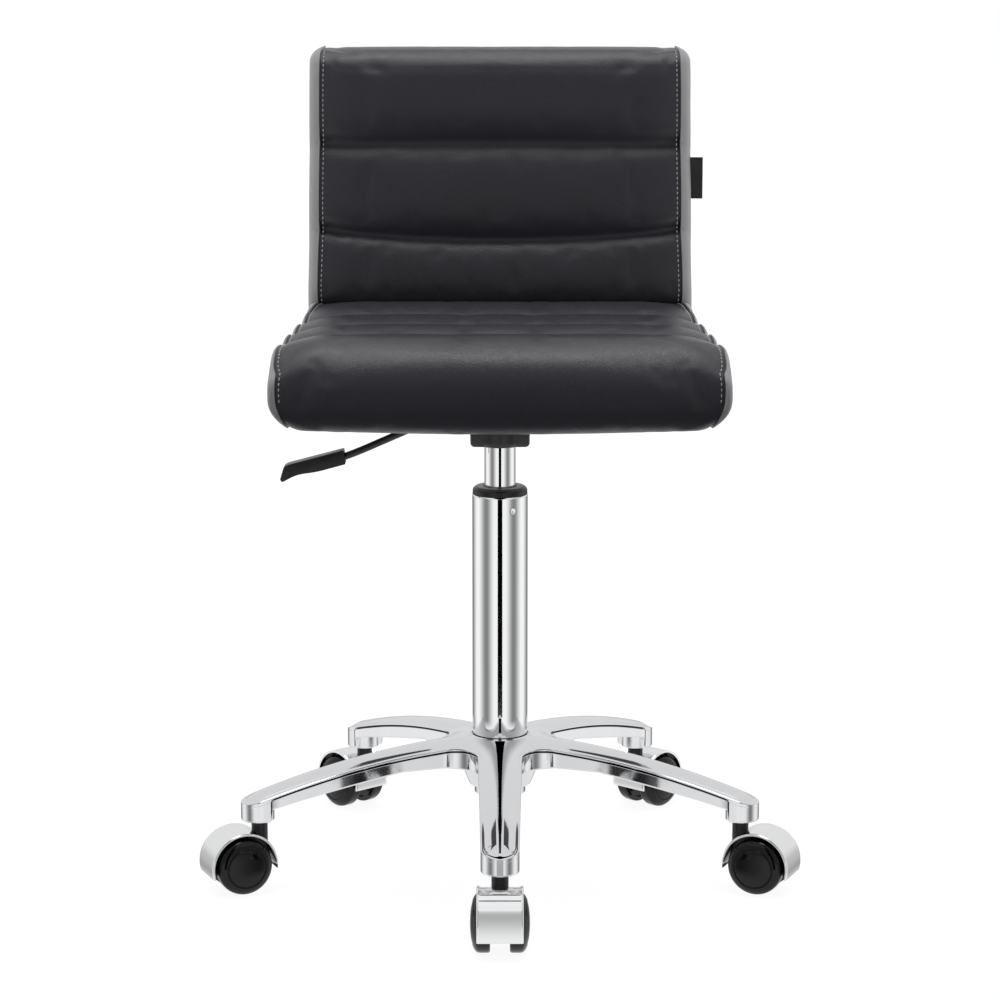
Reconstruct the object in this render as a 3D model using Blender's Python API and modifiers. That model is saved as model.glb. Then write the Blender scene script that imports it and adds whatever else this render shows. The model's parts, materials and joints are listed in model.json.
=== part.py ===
"""Rolling stylist stool: five-leg cast base on twin-wheel casters, gas lift, lever and channelled seat.

Metres, +Z up, the front towards -Y. The floor is z = 0 and the origin is the middle of the footprint.
"""

import math

import bmesh
import bpy
from mathutils import Matrix, Vector

GAP = 0.0003

# Five legs, the first one pointing to the front.
LEG_ANGLES = [math.radians(a) for a in (-90, -18, 54, 126, 198)]
STEM_RADIUS = 0.225
NOSE_RADIUS = 0.0163
LEG_ROOT_HALF = 0.0195
LEG_ROOT_AT = 0.075
WEB_FILLET = 0.024
CROWN_Z = 0.1215
CROWN_DROP = 0.71
NOSE_BOTTOM_Z = 0.0625
BOSS_RADIUS = 0.0135
BOSS_BOTTOM_Z = 0.0618
HUB_BORE = 0.0235
HUB_BOTTOM_Z = 0.0765
STAR_STEPS = 40

# Casters, each in its own frame: the stem is on the axis and the wheels trail along +X.
WHEEL_RADIUS = 0.025
WHEEL_STEPS = 22
WHEEL_INNER = 0.00795
WHEEL_OUTER = 0.0248
TREAD_OUTER = 0.0205
TRAIL = 0.020
HOOD_RADIUS = 0.0305
HOOD_THICKNESS = 0.0022
HOOD_HALF_WIDTH = 0.0195
HOOD_OUTER_EDGE_Z = 0.0165
HOOD_INNER_EDGE_Z = 0.0210
WEB_HALF = 0.0074
COLLAR_RADIUS = 0.0072
STEM_PIN_RADIUS = 0.0055
STEM_TOP_Z = 0.0775
AXLE_RADIUS = 0.003
# How far each caster has swivelled away from its leg's direction.
CASTER_YAW = [math.radians(a) for a in (0, -6, -6, 6, 6)]

# The column stands this far behind the footprint's middle.
FRONT_REACH = STEM_RADIUS + TRAIL + HOOD_RADIUS
REAR_STEM = LEG_ANGLES[2]
REAR_TRAIL = LEG_ANGLES[2] + CASTER_YAW[2]
REAR_REACH = (
    STEM_RADIUS * math.sin(REAR_STEM)
    + (TRAIL + HOOD_RADIUS) * math.sin(REAR_TRAIL)
    + HOOD_HALF_WIDTH * math.cos(REAR_TRAIL)
)
COLUMN_Y = (FRONT_REACH - REAR_REACH) / 2

# Column and gas lift.
TUBE_RADIUS = 0.025
TUBE_TOP_Z = 0.3437
TUBE_INNER = 0.0232
TUBE_FLOOR_Z = 0.0680
COLLAR_TOP_Z = 0.3511
SLEEVE_BOTTOM_Z = 0.268
CYLINDER_RADIUS = 0.014
CYLINDER_BOTTOM_Z = 0.150
ROD_RADIUS = 0.0045
ROD_BOTTOM_Z = 0.0638
PISTON_Z = 0.258
ROUND_STEPS = 32

# Seat mechanism under the pad.
PAD_BOTTOM_Z = 0.4255
PLATE_THICKNESS = 0.003
PLATE_TOP_Z = PAD_BOTTOM_Z - GAP
PLATE_HALF_X = 0.075
PLATE_HALF_Y = 0.065
HOUSING_TOP_Z = PLATE_TOP_Z - PLATE_THICKNESS - GAP
HOUSING_BOTTOM_Z = 0.3875
HOUSING_HALF_X = 0.027
HOUSING_FRONT = -0.014
HOUSING_REAR = 0.060
SOCKET_RADIUS = 0.020
SLOT_FLOOR_Z = HOUSING_TOP_Z - 0.0144
SLOT_HALF = 0.0048
BOLT_X = 0.060
BOLT_Y = 0.050
BOLT_RADIUS = 0.003
BOLT_HEAD_RADIUS = 0.0065
BOLT_HEAD = 0.0042
BOLT_TOP_Z = PAD_BOTTOM_Z + 0.0125

# Release lever: pivot across the housing, rod to the left, paddle at its end.
LEVER_PIVOT = Vector((-0.018, 0.0, HOUSING_TOP_Z - 0.0054))
LEVER_ROD_RADIUS = 0.00325
LEVER_PIN_RADIUS = 0.0013
RELEASE_PIN_RADIUS = 0.003
RELEASE_PIN_TOP_Z = LEVER_PIVOT.z - LEVER_ROD_RADIUS - 0.00075
RELEASE_PIN_LENGTH = 0.013
CYLINDER_TOP_Z = SLOT_FLOOR_Z - 0.003

# Upholstered L, in side view: y from the column's axis, z from the floor.
PAD_FRONT_Y = -0.205
PAD_HALF_WIDTH = 0.1895
REAR_TAPER = 0.040
FRONT_LOW_RADIUS = 0.022
FRONT_TOP_RADIUS = 0.040
SEAT_TOP_Z = 0.4965
BEND_RADIUS = 0.070
BEND_CENTRE = (0.1024, PAD_BOTTOM_Z + BEND_RADIUS)
BACK_LEAN = math.radians(8)
BACK_TOP_Z = 0.7352
TOP_FRONT_RADIUS = 0.020
TOP_REAR_RADIUS = 0.014
BACK_THICKNESS = 0.0565
SEAT_CREASES = (-0.117, -0.044, 0.035)
JUNCTION = (0.115, 0.5005)
BACK_CREASES = (0.5603, 0.6490)
ROLL_BULGE = 0.0075
SKIN = 0.004
COVER = 0.003
PLY = 0.011
PLY_HALF_WIDTH = 0.155
GUSSET = 0.0102
COVER_END_Z = 0.706
PLY_END_Z = 0.696
TAG_Z = (0.5973, 0.6355)
TAG_REACH = 0.0115


def clear_scene():
    for obj in list(bpy.data.objects):
        bpy.data.objects.remove(obj, do_unlink=True)


def make_collection(name):
    made = bpy.data.collections.new(name)
    bpy.context.scene.collection.children.link(made)
    return made


def make_material(name, rgb, roughness, metallic=0.0):
    made = bpy.data.materials.new(name)
    made.use_nodes = True
    shader = made.node_tree.nodes["Principled BSDF"]
    shader.inputs["Base Color"].default_value = (*rgb, 1.0)
    shader.inputs["Roughness"].default_value = roughness
    shader.inputs["Metallic"].default_value = metallic
    return made


clear_scene()
PARTS = make_collection("rolling_stylist_stool")
CUTTERS = make_collection("cutters")
CHROME = make_material("chrome", (0.86, 0.87, 0.88), 0.08, 1.0)
CAST = make_material("polished_aluminium", (0.78, 0.79, 0.80), 0.22, 1.0)
STEEL = make_material("steel", (0.55, 0.56, 0.58), 0.35, 1.0)
BLACK_PLASTIC = make_material("black_plastic", (0.018, 0.018, 0.020), 0.32)
BLACK_METAL = make_material("black_painted_steel", (0.022, 0.022, 0.024), 0.38)
RUBBER = make_material("rubber", (0.03, 0.03, 0.03), 0.8)
VINYL = make_material("black_vinyl", (0.024, 0.024, 0.027), 0.42)
GREY_VINYL = make_material("grey_vinyl", (0.21, 0.21, 0.22), 0.45)
FOAM = make_material("foam", (0.75, 0.72, 0.60), 0.9)
PLYWOOD = make_material("plywood", (0.62, 0.46, 0.28), 0.6)
FABRIC = make_material("tag_fabric", (0.015, 0.015, 0.015), 0.8)


def close_up(mesh):
    """Weld what meets and turn every face outwards."""
    work = bmesh.new()
    work.from_mesh(mesh)
    bmesh.ops.remove_doubles(work, verts=work.verts, dist=1e-6)
    bmesh.ops.recalc_face_normals(work, faces=work.faces)
    work.to_mesh(mesh)
    work.free()
    return mesh


def bake(obj):
    """The object's evaluated mesh; the object itself goes."""
    bpy.context.view_layer.update()
    graph = bpy.context.evaluated_depsgraph_get()
    mesh = bpy.data.meshes.new_from_object(obj.evaluated_get(graph))
    bpy.data.objects.remove(obj, do_unlink=True)
    return close_up(mesh)


def loose_object(name, data):
    obj = bpy.data.objects.new(name, data)
    CUTTERS.objects.link(obj)
    return obj


def turned(profile, steps, closed=True, phase=0.0):
    """Mesh of a profile of (radius, height) points turned about Z; an open one ends on the axis."""
    mesh = bpy.data.meshes.new("profile")
    count = len(profile)
    edges = [(i, (i + 1) % count) for i in range(count if closed else count - 1)]
    turn = Matrix.Rotation(phase, 3, "Z")
    mesh.from_pydata([turn @ Vector((r, 0.0, z)) for r, z in profile], edges, [])
    obj = loose_object("turned", mesh)
    screw = obj.modifiers.new("turn", "SCREW")
    screw.steps = steps
    screw.render_steps = steps
    screw.use_merge_vertices = True
    screw.merge_threshold = 0.00001
    return bake(obj)


def prism(outline, half_depth):
    """Mesh of a flat outline in XY, thickened both ways along Z."""
    curve = bpy.data.curves.new("outline", "CURVE")
    curve.dimensions = "2D"
    curve.fill_mode = "BOTH"
    curve.extrude = half_depth
    spline = curve.splines.new("POLY")
    spline.points.add(len(outline) - 1)
    for point, (x, y) in zip(spline.points, outline):
        point.co = (x, y, 0.0, 1.0)
    spline.use_cyclic_u = True
    return bake(loose_object("outline", curve))


def box(low, high):
    """Mesh of a box between two corners."""
    work = bmesh.new()
    bmesh.ops.create_cube(work, size=1.0)
    size = Vector(high) - Vector(low)
    middle = (Vector(high) + Vector(low)) / 2
    bmesh.ops.scale(work, vec=size, verts=work.verts)
    bmesh.ops.translate(work, vec=middle, verts=work.verts)
    mesh = bpy.data.meshes.new("box")
    work.to_mesh(mesh)
    work.free()
    return mesh


def rod(radius, low, high, steps=24):
    """Mesh of an upright cylinder."""
    work = bmesh.new()
    bmesh.ops.create_cone(
        work, cap_ends=True, segments=steps, radius1=radius, radius2=radius, depth=high - low
    )
    bmesh.ops.translate(work, vec=(0.0, 0.0, (high + low) / 2), verts=work.verts)
    mesh = bpy.data.meshes.new("rod")
    work.to_mesh(mesh)
    work.free()
    return mesh


def moved(mesh, matrix):
    mesh.transform(matrix)
    return mesh


def joined(meshes):
    """One mesh that holds several separate bodies, for use as a cutter."""
    work = bmesh.new()
    for mesh in meshes:
        work.from_mesh(mesh)
    made = bpy.data.meshes.new("joined")
    work.to_mesh(made)
    work.free()
    return made


def combined(base, steps):
    """Mesh of the base after a list of (operation, mesh) Boolean steps."""
    obj = loose_object("base", base)
    for operation, mesh in steps:
        cutter = loose_object("cutter", mesh)
        cutter.hide_render = True
        cutter.display_type = "WIRE"
        cut = obj.modifiers.new(operation.lower(), "BOOLEAN")
        cut.operation = operation
        cut.solver = "EXACT"
        cut.object = cutter
    result = bake(obj)
    for cutter in [o for o in CUTTERS.objects if o.name.startswith("cutter")]:
        bpy.data.objects.remove(cutter, do_unlink=True)
    return result


def bevelled(mesh, width, segments, angle=40):
    obj = loose_object("bevelled", mesh)
    bevel = obj.modifiers.new("bevel", "BEVEL")
    bevel.width = width
    bevel.segments = segments
    bevel.limit_method = "ANGLE"
    bevel.angle_limit = math.radians(angle)
    return bake(obj)


def place(name, mesh, material, location=(0.0, 0.0, 0.0), parent=None, smooth=35):
    """Put a finished piece in the model; its location is its joint's axis where it moves."""
    if not mesh.materials:
        mesh.materials.append(material)
    mesh.shade_smooth()
    mesh.set_sharp_from_angle(angle=math.radians(smooth))
    obj = bpy.data.objects.new(name, mesh)
    PARTS.objects.link(obj)
    obj.location = location
    obj.parent = parent
    return obj


def arc(centre, radius, start, end, count):
    """Points on a circle from one angle to another, in degrees, both ends included."""
    steps = [math.radians(start + (end - start) * i / count) for i in range(count + 1)]
    return [(centre[0] + radius * math.cos(a), centre[1] + radius * math.sin(a)) for a in steps]


# ---------------------------------------------------------------- base


def crown_height(radius):
    return CROWN_Z - CROWN_DROP * radius**2


def leg_half_width(radius):
    share = (radius - LEG_ROOT_AT) / (STEM_RADIUS - LEG_ROOT_AT)
    return LEG_ROOT_HALF + (NOSE_RADIUS - LEG_ROOT_HALF) * share


def star_outline():
    """Plan of the five legs: round noses, tapering sides and a round web between neighbours."""
    half_step = math.radians(36)
    taper = math.atan((LEG_ROOT_HALF - NOSE_RADIUS) / (STEM_RADIUS - LEG_ROOT_AT))
    root = leg_half_width(0.0)
    reach = (root * math.cos(taper) + WEB_FILLET) / math.sin(half_step + taper)
    web = [reach * math.cos(half_step), reach * math.sin(half_step)]
    start = 270 - math.degrees(taper)
    end = 162 + math.degrees(taper)
    outline = []
    for angle in LEG_ANGLES:
        nose = arc((STEM_RADIUS, 0.0), NOSE_RADIUS, -90, 90, 12)
        fillet = arc(web, WEB_FILLET, start, end, 8)
        turn = Matrix.Rotation(angle, 2)
        outline += [tuple(turn @ Vector(p)) for p in nose + fillet]
    return outline


def star_section():
    """Half section of the base about the column: the crowned top and the raised underside."""
    radii = [HUB_BORE + 0.028 * i for i in range(8)] + [0.248]
    top = [(r, crown_height(r)) for r in radii]
    under = [
        (0.248, NOSE_BOTTOM_Z),
        (0.2145, NOSE_BOTTOM_Z),
        (0.2135, 0.0745),
        (0.192, 0.0797),
        (0.146, 0.0894),
        (0.100, 0.0983),
        (0.062, 0.0990),
        (0.036, 0.0965),
        (0.0280, HUB_BOTTOM_Z),
        (HUB_BORE, HUB_BOTTOM_Z),
    ]
    return top + under


def leg_channel():
    """Hollow under one leg, which leaves a wall all round."""
    low, high = 0.060, 0.203
    wall = 0.0050
    outline = [
        (low, -leg_half_width(low) + wall),
        (high, -leg_half_width(high) + wall),
        (high, leg_half_width(high) - wall),
        (low, leg_half_width(low) - wall),
    ]
    roof = [(r, crown_height(r) - wall) for r in (0.05, 0.09, 0.13, 0.17, 0.21)]
    section = [(0.05, 0.05)] + roof + [(0.21, 0.05)]
    return combined(prism(outline, 0.2), [("INTERSECT", turned(section, STAR_STEPS))])


def at_legs(mesh_of, radius=STEM_RADIUS):
    """Copies of a mesh at all five legs, joined as one cutter."""
    copies = []
    for angle in LEG_ANGLES:
        turn = Matrix.Rotation(angle, 4, "Z") @ Matrix.Translation((radius, 0.0, 0.0))
        copies.append(moved(mesh_of(), turn))
    return joined(copies)


def build_star_base(root):
    plan = prism(star_outline(), 0.3)
    cast = combined(
        plan,
        [
            ("INTERSECT", turned(star_section(), STAR_STEPS)),
            ("DIFFERENCE", at_legs(leg_channel, 0.0)),
            ("UNION", at_legs(lambda: rod(BOSS_RADIUS, BOSS_BOTTOM_Z, 0.0790))),
            ("DIFFERENCE", at_legs(lambda: rod(STEM_PIN_RADIUS + GAP, 0.05, STEM_TOP_Z + 0.001))),
        ],
    )
    place("star_base", cast, CAST, parent=root, smooth=30)


# ---------------------------------------------------------------- column and gas lift


def build_column(root):
    shoulder = CROWN_Z + GAP
    tube = [
        (TUBE_INNER, TUBE_TOP_Z),
        (TUBE_RADIUS - 0.0005, TUBE_TOP_Z),
        (TUBE_RADIUS, TUBE_TOP_Z - 0.0005),
        (TUBE_RADIUS, shoulder),
        (HUB_BORE - GAP, shoulder),
        (HUB_BORE - GAP, TUBE_FLOOR_Z),
        (0.0060, TUBE_FLOOR_Z),
        (0.0060, TUBE_FLOOR_Z + 0.003),
        (0.0212, TUBE_FLOOR_Z + 0.003),
        (0.0212, 0.128),
        (TUBE_INNER, 0.131),
    ]
    place("column_tube", turned(tube, ROUND_STEPS), CHROME, parent=root)
    bore = CYLINDER_RADIUS + 0.0005
    bushing = [
        (bore, SLEEVE_BOTTOM_Z),
        (bore, COLLAR_TOP_Z - 0.0008),
        (bore + 0.0012, COLLAR_TOP_Z),
        (TUBE_RADIUS - 0.0016, COLLAR_TOP_Z),
        (TUBE_RADIUS - 0.0002, COLLAR_TOP_Z - 0.0014),
        (TUBE_RADIUS - 0.0002, TUBE_TOP_Z + GAP),
        (TUBE_INNER - GAP, TUBE_TOP_Z + GAP),
        (TUBE_INNER - GAP, SLEEVE_BOTTOM_Z),
    ]
    place("guide_bushing", turned(bushing, ROUND_STEPS), BLACK_PLASTIC, parent=root)
    floor = TUBE_FLOOR_Z + 0.003
    bearing = [
        (0.0062, floor + GAP),
        (0.0062, floor + 0.008),
        (0.0140, floor + 0.008),
        (0.0140, floor + GAP),
    ]
    place("thrust_bearing", turned(bearing, 24), STEEL, parent=root)
    bumper = [
        (0.0062, floor + 0.0083),
        (0.0062, 0.098),
        (0.0105, 0.100),
        (0.0125, 0.096),
        (0.0130, floor + 0.0083),
    ]
    place("rubber_bumper", turned(bumper, 24), RUBBER, parent=root)


def build_gas_lift(swivel, seat):
    head = 0.0112
    piston = [
        (0.0, PISTON_Z + 0.010),
        (head - 0.001, PISTON_Z + 0.010),
        (head, PISTON_Z + 0.009),
        (head, PISTON_Z),
        (ROD_RADIUS, PISTON_Z - 0.001),
        (ROD_RADIUS, ROD_BOTTOM_Z + 0.001),
        (ROD_RADIUS - 0.001, ROD_BOTTOM_Z),
        (0.0, ROD_BOTTOM_Z),
    ]
    place("piston_rod", turned(piston, 24, closed=False), STEEL, parent=swivel)
    clip = [
        (ROD_RADIUS + 0.0004, TUBE_FLOOR_Z - GAP),
        (0.0090, TUBE_FLOOR_Z - GAP),
        (0.0090, TUBE_FLOOR_Z - 0.0018),
        (ROD_RADIUS + 0.0004, TUBE_FLOOR_Z - 0.0018),
    ]
    place("retaining_clip", turned(clip, 24), STEEL, parent=swivel)
    bore = 0.0118
    pin_hole = (0.0034, RELEASE_PIN_TOP_Z - RELEASE_PIN_LENGTH - 0.0035)
    cylinder = [
        (0.0034, CYLINDER_TOP_Z),
        (CYLINDER_RADIUS - 0.001, CYLINDER_TOP_Z),
        (CYLINDER_RADIUS, CYLINDER_TOP_Z - 0.001),
        (CYLINDER_RADIUS, CYLINDER_BOTTOM_Z + 0.001),
        (CYLINDER_RADIUS - 0.001, CYLINDER_BOTTOM_Z),
        (ROD_RADIUS + 0.0005, CYLINDER_BOTTOM_Z),
        (ROD_RADIUS + 0.0005, CYLINDER_BOTTOM_Z + 0.008),
        (bore, CYLINDER_BOTTOM_Z + 0.008),
        (bore, pin_hole[1] - 0.020),
        (0.0, pin_hole[1] - 0.020),
    ]
    outline = [(0.0, pin_hole[1]), pin_hole] + cylinder
    place("gas_cylinder", turned(outline, ROUND_STEPS, closed=False), CHROME, parent=seat)


# ---------------------------------------------------------------- casters


def lying(mesh):
    """Turn a mesh made about Z so that its axis lies along Y, at the caster's axle."""
    turn = Matrix.Rotation(math.radians(-90), 4, "X")
    return moved(mesh, turn)


def at_axle(mesh):
    return moved(mesh, Matrix.Translation((TRAIL, 0.0, WHEEL_RADIUS)))


def wheel_mesh(side):
    """Wheel with a flat tread and a dished disc inside a raised rim; its blind bore faces inwards."""
    profile = [
        (0.0, WHEEL_OUTER - 0.0012),
        (0.0178, WHEEL_OUTER - 0.0010),
        (0.0186, WHEEL_OUTER),
        (0.0206, WHEEL_OUTER - 0.0004),
        (0.0236, WHEEL_OUTER - 0.0022),
        (WHEEL_RADIUS, TREAD_OUTER),
        (WHEEL_RADIUS, WHEEL_INNER + 0.0008),
        (WHEEL_RADIUS - 0.0008, WHEEL_INNER),
        (AXLE_RADIUS + GAP + 0.0001, WHEEL_INNER),
        (AXLE_RADIUS + GAP + 0.0001, 0.0222),
        (0.0, 0.0222),
    ]
    phase = math.pi / WHEEL_STEPS + math.pi / 2
    # A circle's facets lie inside it, so the radii grow until the facets touch the floor.
    grow = 1 / math.cos(math.pi / WHEEL_STEPS)
    facets = [(r * grow if r > 0.01 else r, z) for r, z in profile]
    mesh = lying(turned(facets, WHEEL_STEPS, closed=False, phase=phase))
    if side < 0:
        moved(mesh, Matrix.Rotation(math.pi, 4, "Z"))
    return mesh


def hood_mesh():
    """Arched cover over both wheels, with a hole for the stem's collar."""
    low = -math.degrees(math.asin((WHEEL_RADIUS - HOOD_OUTER_EDGE_Z) / HOOD_RADIUS))
    high = 180 + math.degrees(math.asin((WHEEL_RADIUS - HOOD_INNER_EDGE_Z) / HOOD_RADIUS))
    outer = arc((0.0, 0.0), HOOD_RADIUS, low, high, 22)
    inner = arc((0.0, 0.0), HOOD_RADIUS - HOOD_THICKNESS, high, low, 22)
    shell = prism(outer + inner, HOOD_HALF_WIDTH)
    # The outline's Y becomes up and its depth lies along the axle.
    moved(shell, Matrix.Rotation(math.radians(90), 4, "X"))
    hole = rod(COLLAR_RADIUS + 0.0005, 0.0, 0.05, 20)
    moved(hole, Matrix.Translation((-TRAIL, 0.0, 0.0)))
    return at_axle(combined(shell, [("DIFFERENCE", hole)]))


def body_mesh():
    """Centre web between the wheels, with the collar for the stem and the axle's bore."""
    radius = HOOD_RADIUS - HOOD_THICKNESS - GAP
    floor = HOOD_INNER_EDGE_Z - WHEEL_RADIUS
    low = math.degrees(math.asin((HOOD_OUTER_EDGE_Z - WHEEL_RADIUS) / radius))
    outline = arc((0.0, 0.0), radius, low, 180 - math.degrees(math.asin(floor / radius)), 14)
    outline += [(-0.012, floor), (-0.006, -0.0110), (0.006, -0.0120)]
    web = prism(outline, WEB_HALF)
    moved(web, Matrix.Rotation(math.radians(90), 4, "X"))
    collar = rod(COLLAR_RADIUS, 0.010, BOSS_BOTTOM_Z - GAP - WHEEL_RADIUS, 20)
    moved(collar, Matrix.Translation((-TRAIL, 0.0, 0.0)))
    socket = rod(STEM_PIN_RADIUS + GAP, 0.013, 0.060, 16)
    moved(socket, Matrix.Translation((-TRAIL, 0.0, 0.0)))
    bore = lying(rod(AXLE_RADIUS + GAP, -0.02, 0.02, 16))
    steps = [("UNION", collar), ("DIFFERENCE", socket), ("DIFFERENCE", bore)]
    return at_axle(combined(web, steps))


def build_casters(root):
    stem = rod(STEM_PIN_RADIUS, WHEEL_RADIUS + 0.0135, STEM_TOP_Z, 16)
    axle = at_axle(lying(rod(AXLE_RADIUS, -0.0218, 0.0218, 16)))
    hood = hood_mesh()
    body = body_mesh()
    wheels = {"left": wheel_mesh(1), "right": wheel_mesh(-1)}
    for number, (angle, yaw) in enumerate(zip(LEG_ANGLES, CASTER_YAW), start=1):
        name = f"caster_{number}"
        swivel = bpy.data.objects.new(f"{name}_swivel", None)
        PARTS.objects.link(swivel)
        swivel.parent = root
        swivel.location = (STEM_RADIUS * math.cos(angle), STEM_RADIUS * math.sin(angle), 0.0)
        swivel.rotation_euler = (0.0, 0.0, angle + yaw)
        place(f"{name}_stem", stem, STEEL, parent=swivel)
        place(f"{name}_body", body, BLACK_PLASTIC, parent=swivel)
        place(f"{name}_hood", hood, CHROME, parent=swivel)
        place(f"{name}_axle", axle, STEEL, parent=swivel)
        for side, mesh in wheels.items():
            at = (TRAIL, 0.0, WHEEL_RADIUS)
            place(f"{name}_wheel_{side}", mesh, BLACK_PLASTIC, at, swivel)


# ---------------------------------------------------------------- seat mechanism


def bolt_places():
    return [(x, y) for x in (-BOLT_X, BOLT_X) for y in (-BOLT_Y, BOLT_Y)]


def bolt_holes(low, high):
    holes = []
    for x, y in bolt_places():
        hole = rod(BOLT_RADIUS + 0.0004, low, high, 12)
        holes.append(moved(hole, Matrix.Translation((x, y, 0.0))))
    return joined(holes)


def across(radius, x, z, low, high, steps=12):
    """Mesh of a cylinder that lies along Y."""
    return moved(lying(rod(radius, low, high, steps)), Matrix.Translation((x, 0.0, z)))


def build_mechanism(seat):
    plate = box(
        (-PLATE_HALF_X, -PLATE_HALF_Y, PLATE_TOP_Z - PLATE_THICKNESS),
        (PLATE_HALF_X, PLATE_HALF_Y, PLATE_TOP_Z),
    )
    plate = combined(plate, [("DIFFERENCE", bolt_holes(0.40, 0.45))])
    place("mechanism_plate", plate, BLACK_METAL, parent=seat)

    block = box(
        (-HOUSING_HALF_X, HOUSING_FRONT, HOUSING_BOTTOM_Z),
        (HOUSING_HALF_X, HOUSING_REAR, HOUSING_TOP_Z),
    )
    block = bevelled(block, 0.0035, 2)
    socket = [
        (0.0, HOUSING_BOTTOM_Z),
        (SOCKET_RADIUS - 0.002, HOUSING_BOTTOM_Z),
        (SOCKET_RADIUS, HOUSING_BOTTOM_Z + 0.002),
        (SOCKET_RADIUS, HOUSING_TOP_Z - 0.001),
        (0.0, HOUSING_TOP_Z - 0.001),
    ]
    slot = box((-0.030, -SLOT_HALF, SLOT_FLOOR_Z), (0.0075, SLOT_HALF, PLATE_TOP_Z))
    steps = [
        ("UNION", turned(socket, 28, closed=False)),
        ("DIFFERENCE", rod(CYLINDER_RADIUS + GAP, 0.35, CYLINDER_TOP_Z + 0.0005, ROUND_STEPS)),
        ("DIFFERENCE", rod(RELEASE_PIN_RADIUS + 0.0004, CYLINDER_TOP_Z, PLATE_TOP_Z, 16)),
        ("DIFFERENCE", slot),
        ("DIFFERENCE", across(LEVER_PIN_RADIUS + GAP, LEVER_PIVOT.x, LEVER_PIVOT.z, -0.03, 0.014)),
    ]
    place("mechanism_housing", combined(block, steps), BLACK_METAL, parent=seat)

    pin = across(LEVER_PIN_RADIUS, LEVER_PIVOT.x, LEVER_PIVOT.z, -0.0125, 0.0125)
    place("lever_pivot_pin", pin, STEEL, parent=seat)
    head_top = PLATE_TOP_Z - PLATE_THICKNESS - GAP
    bolt = combined(
        rod(BOLT_HEAD_RADIUS, head_top - BOLT_HEAD, head_top, 6),
        [("UNION", rod(BOLT_RADIUS, head_top - 0.002, BOLT_TOP_Z, 12))],
    )
    for number, (x, y) in enumerate(bolt_places(), start=1):
        place(f"seat_bolt_{number}", bolt, STEEL, (x, y, 0.0), seat)


def lever_route():
    """Centre line of the lever's rod, from over the release pin out to the paddle."""
    level = LEVER_PIVOT.z
    inner = [(0.0045, level), (-0.026, level), (-0.034, level - 0.0005), (-0.046, level - 0.0027)]
    bend = [(-0.060, 0.4100), (-0.076, 0.4042), (-0.0893, 0.3983), (-0.1072, 0.3905)]
    sweep = [(-0.1216, 0.3842), (-0.1341, 0.3792), (-0.1460, 0.3750)]
    return inner + bend + sweep


def build_lever(lever, release):
    curve = bpy.data.curves.new("lever", "CURVE")
    curve.dimensions = "3D"
    curve.bevel_depth = LEVER_ROD_RADIUS
    curve.bevel_resolution = 2
    curve.use_fill_caps = True
    spline = curve.splines.new("POLY")
    route = lever_route()
    spline.points.add(len(route) - 1)
    for point, (x, z) in zip(spline.points, route):
        point.co = (x, 0.0, z, 1.0)
    tube = bake(loose_object("lever", curve))
    eye = across(LEVER_PIN_RADIUS + GAP, LEVER_PIVOT.x, LEVER_PIVOT.z, -0.01, 0.01)
    shift = Matrix.Translation(-LEVER_PIVOT)
    bar = moved(combined(tube, [("DIFFERENCE", eye)]), shift)
    place("lever_rod", bar, BLACK_METAL, LEVER_PIVOT, lever)

    paddle = [
        (-0.1395, 0.3842),
        (-0.1378, 0.3716),
        (-0.1638, 0.3644),
        (-0.1725, 0.3641),
        (-0.1815, 0.3622),
        (-0.1945, 0.3552),
        (-0.1966, 0.3574),
        (-0.1930, 0.3694),
        (-0.1890, 0.3712),
    ]
    grip = prism(paddle, 0.0085)
    moved(grip, Matrix.Rotation(math.radians(90), 4, "X"))
    grip = bevelled(grip, 0.0016, 2)
    socket = across_x(LEVER_ROD_RADIUS + GAP)
    grip = moved(combined(grip, [("DIFFERENCE", socket)]), shift)
    place("lever_grip", grip, BLACK_PLASTIC, LEVER_PIVOT, lever)

    pin = rod(RELEASE_PIN_RADIUS, RELEASE_PIN_TOP_Z - RELEASE_PIN_LENGTH, RELEASE_PIN_TOP_Z, 16)
    place("release_pin", pin, STEEL, parent=release)


def across_x(radius):
    """Mesh of the paddle's socket, along the last stretch of the lever's rod."""
    (x0, z0), (x1, z1) = lever_route()[-2:]
    run = Vector((x1 - x0, 0.0, z1 - z0))
    start = Vector((x0, 0.0, z0)) - run * 0.5
    end = Vector((x1, 0.0, z1)) + run.normalized() * GAP
    mesh = rod(radius, 0.0, (end - start).length, 16)
    turn = Vector((0.0, 0.0, 1.0)).rotation_difference(run).to_matrix().to_4x4()
    return moved(mesh, Matrix.Translation(start) @ turn)


# ---------------------------------------------------------------- upholstered seat


def pad_half_width(y):
    """Half the pad's width, which narrows a little to the rear."""
    return PAD_HALF_WIDTH - REAR_TAPER * (y - PAD_FRONT_Y)


def back_direction():
    return Vector((math.sin(BACK_LEAN), math.cos(BACK_LEAN)))


def back_face_point(z, inset=0.0):
    """A point of the backrest's flat face, or of a plane behind it."""
    along = (z - JUNCTION[1]) / math.cos(BACK_LEAN)
    point = Vector(JUNCTION) + back_direction() * along
    return point + Vector((math.cos(BACK_LEAN), -math.sin(BACK_LEAN))) * inset


def roll(start, end, normal, count=7):
    """One channel between two creases: it bulges along the normal."""
    points = []
    for i in range(1, count):
        share = i / count
        lift = ROLL_BULGE * math.sin(math.pi * share) ** 0.7
        points.append(start.lerp(end, share) + normal * lift)
    return points + [end]


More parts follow.
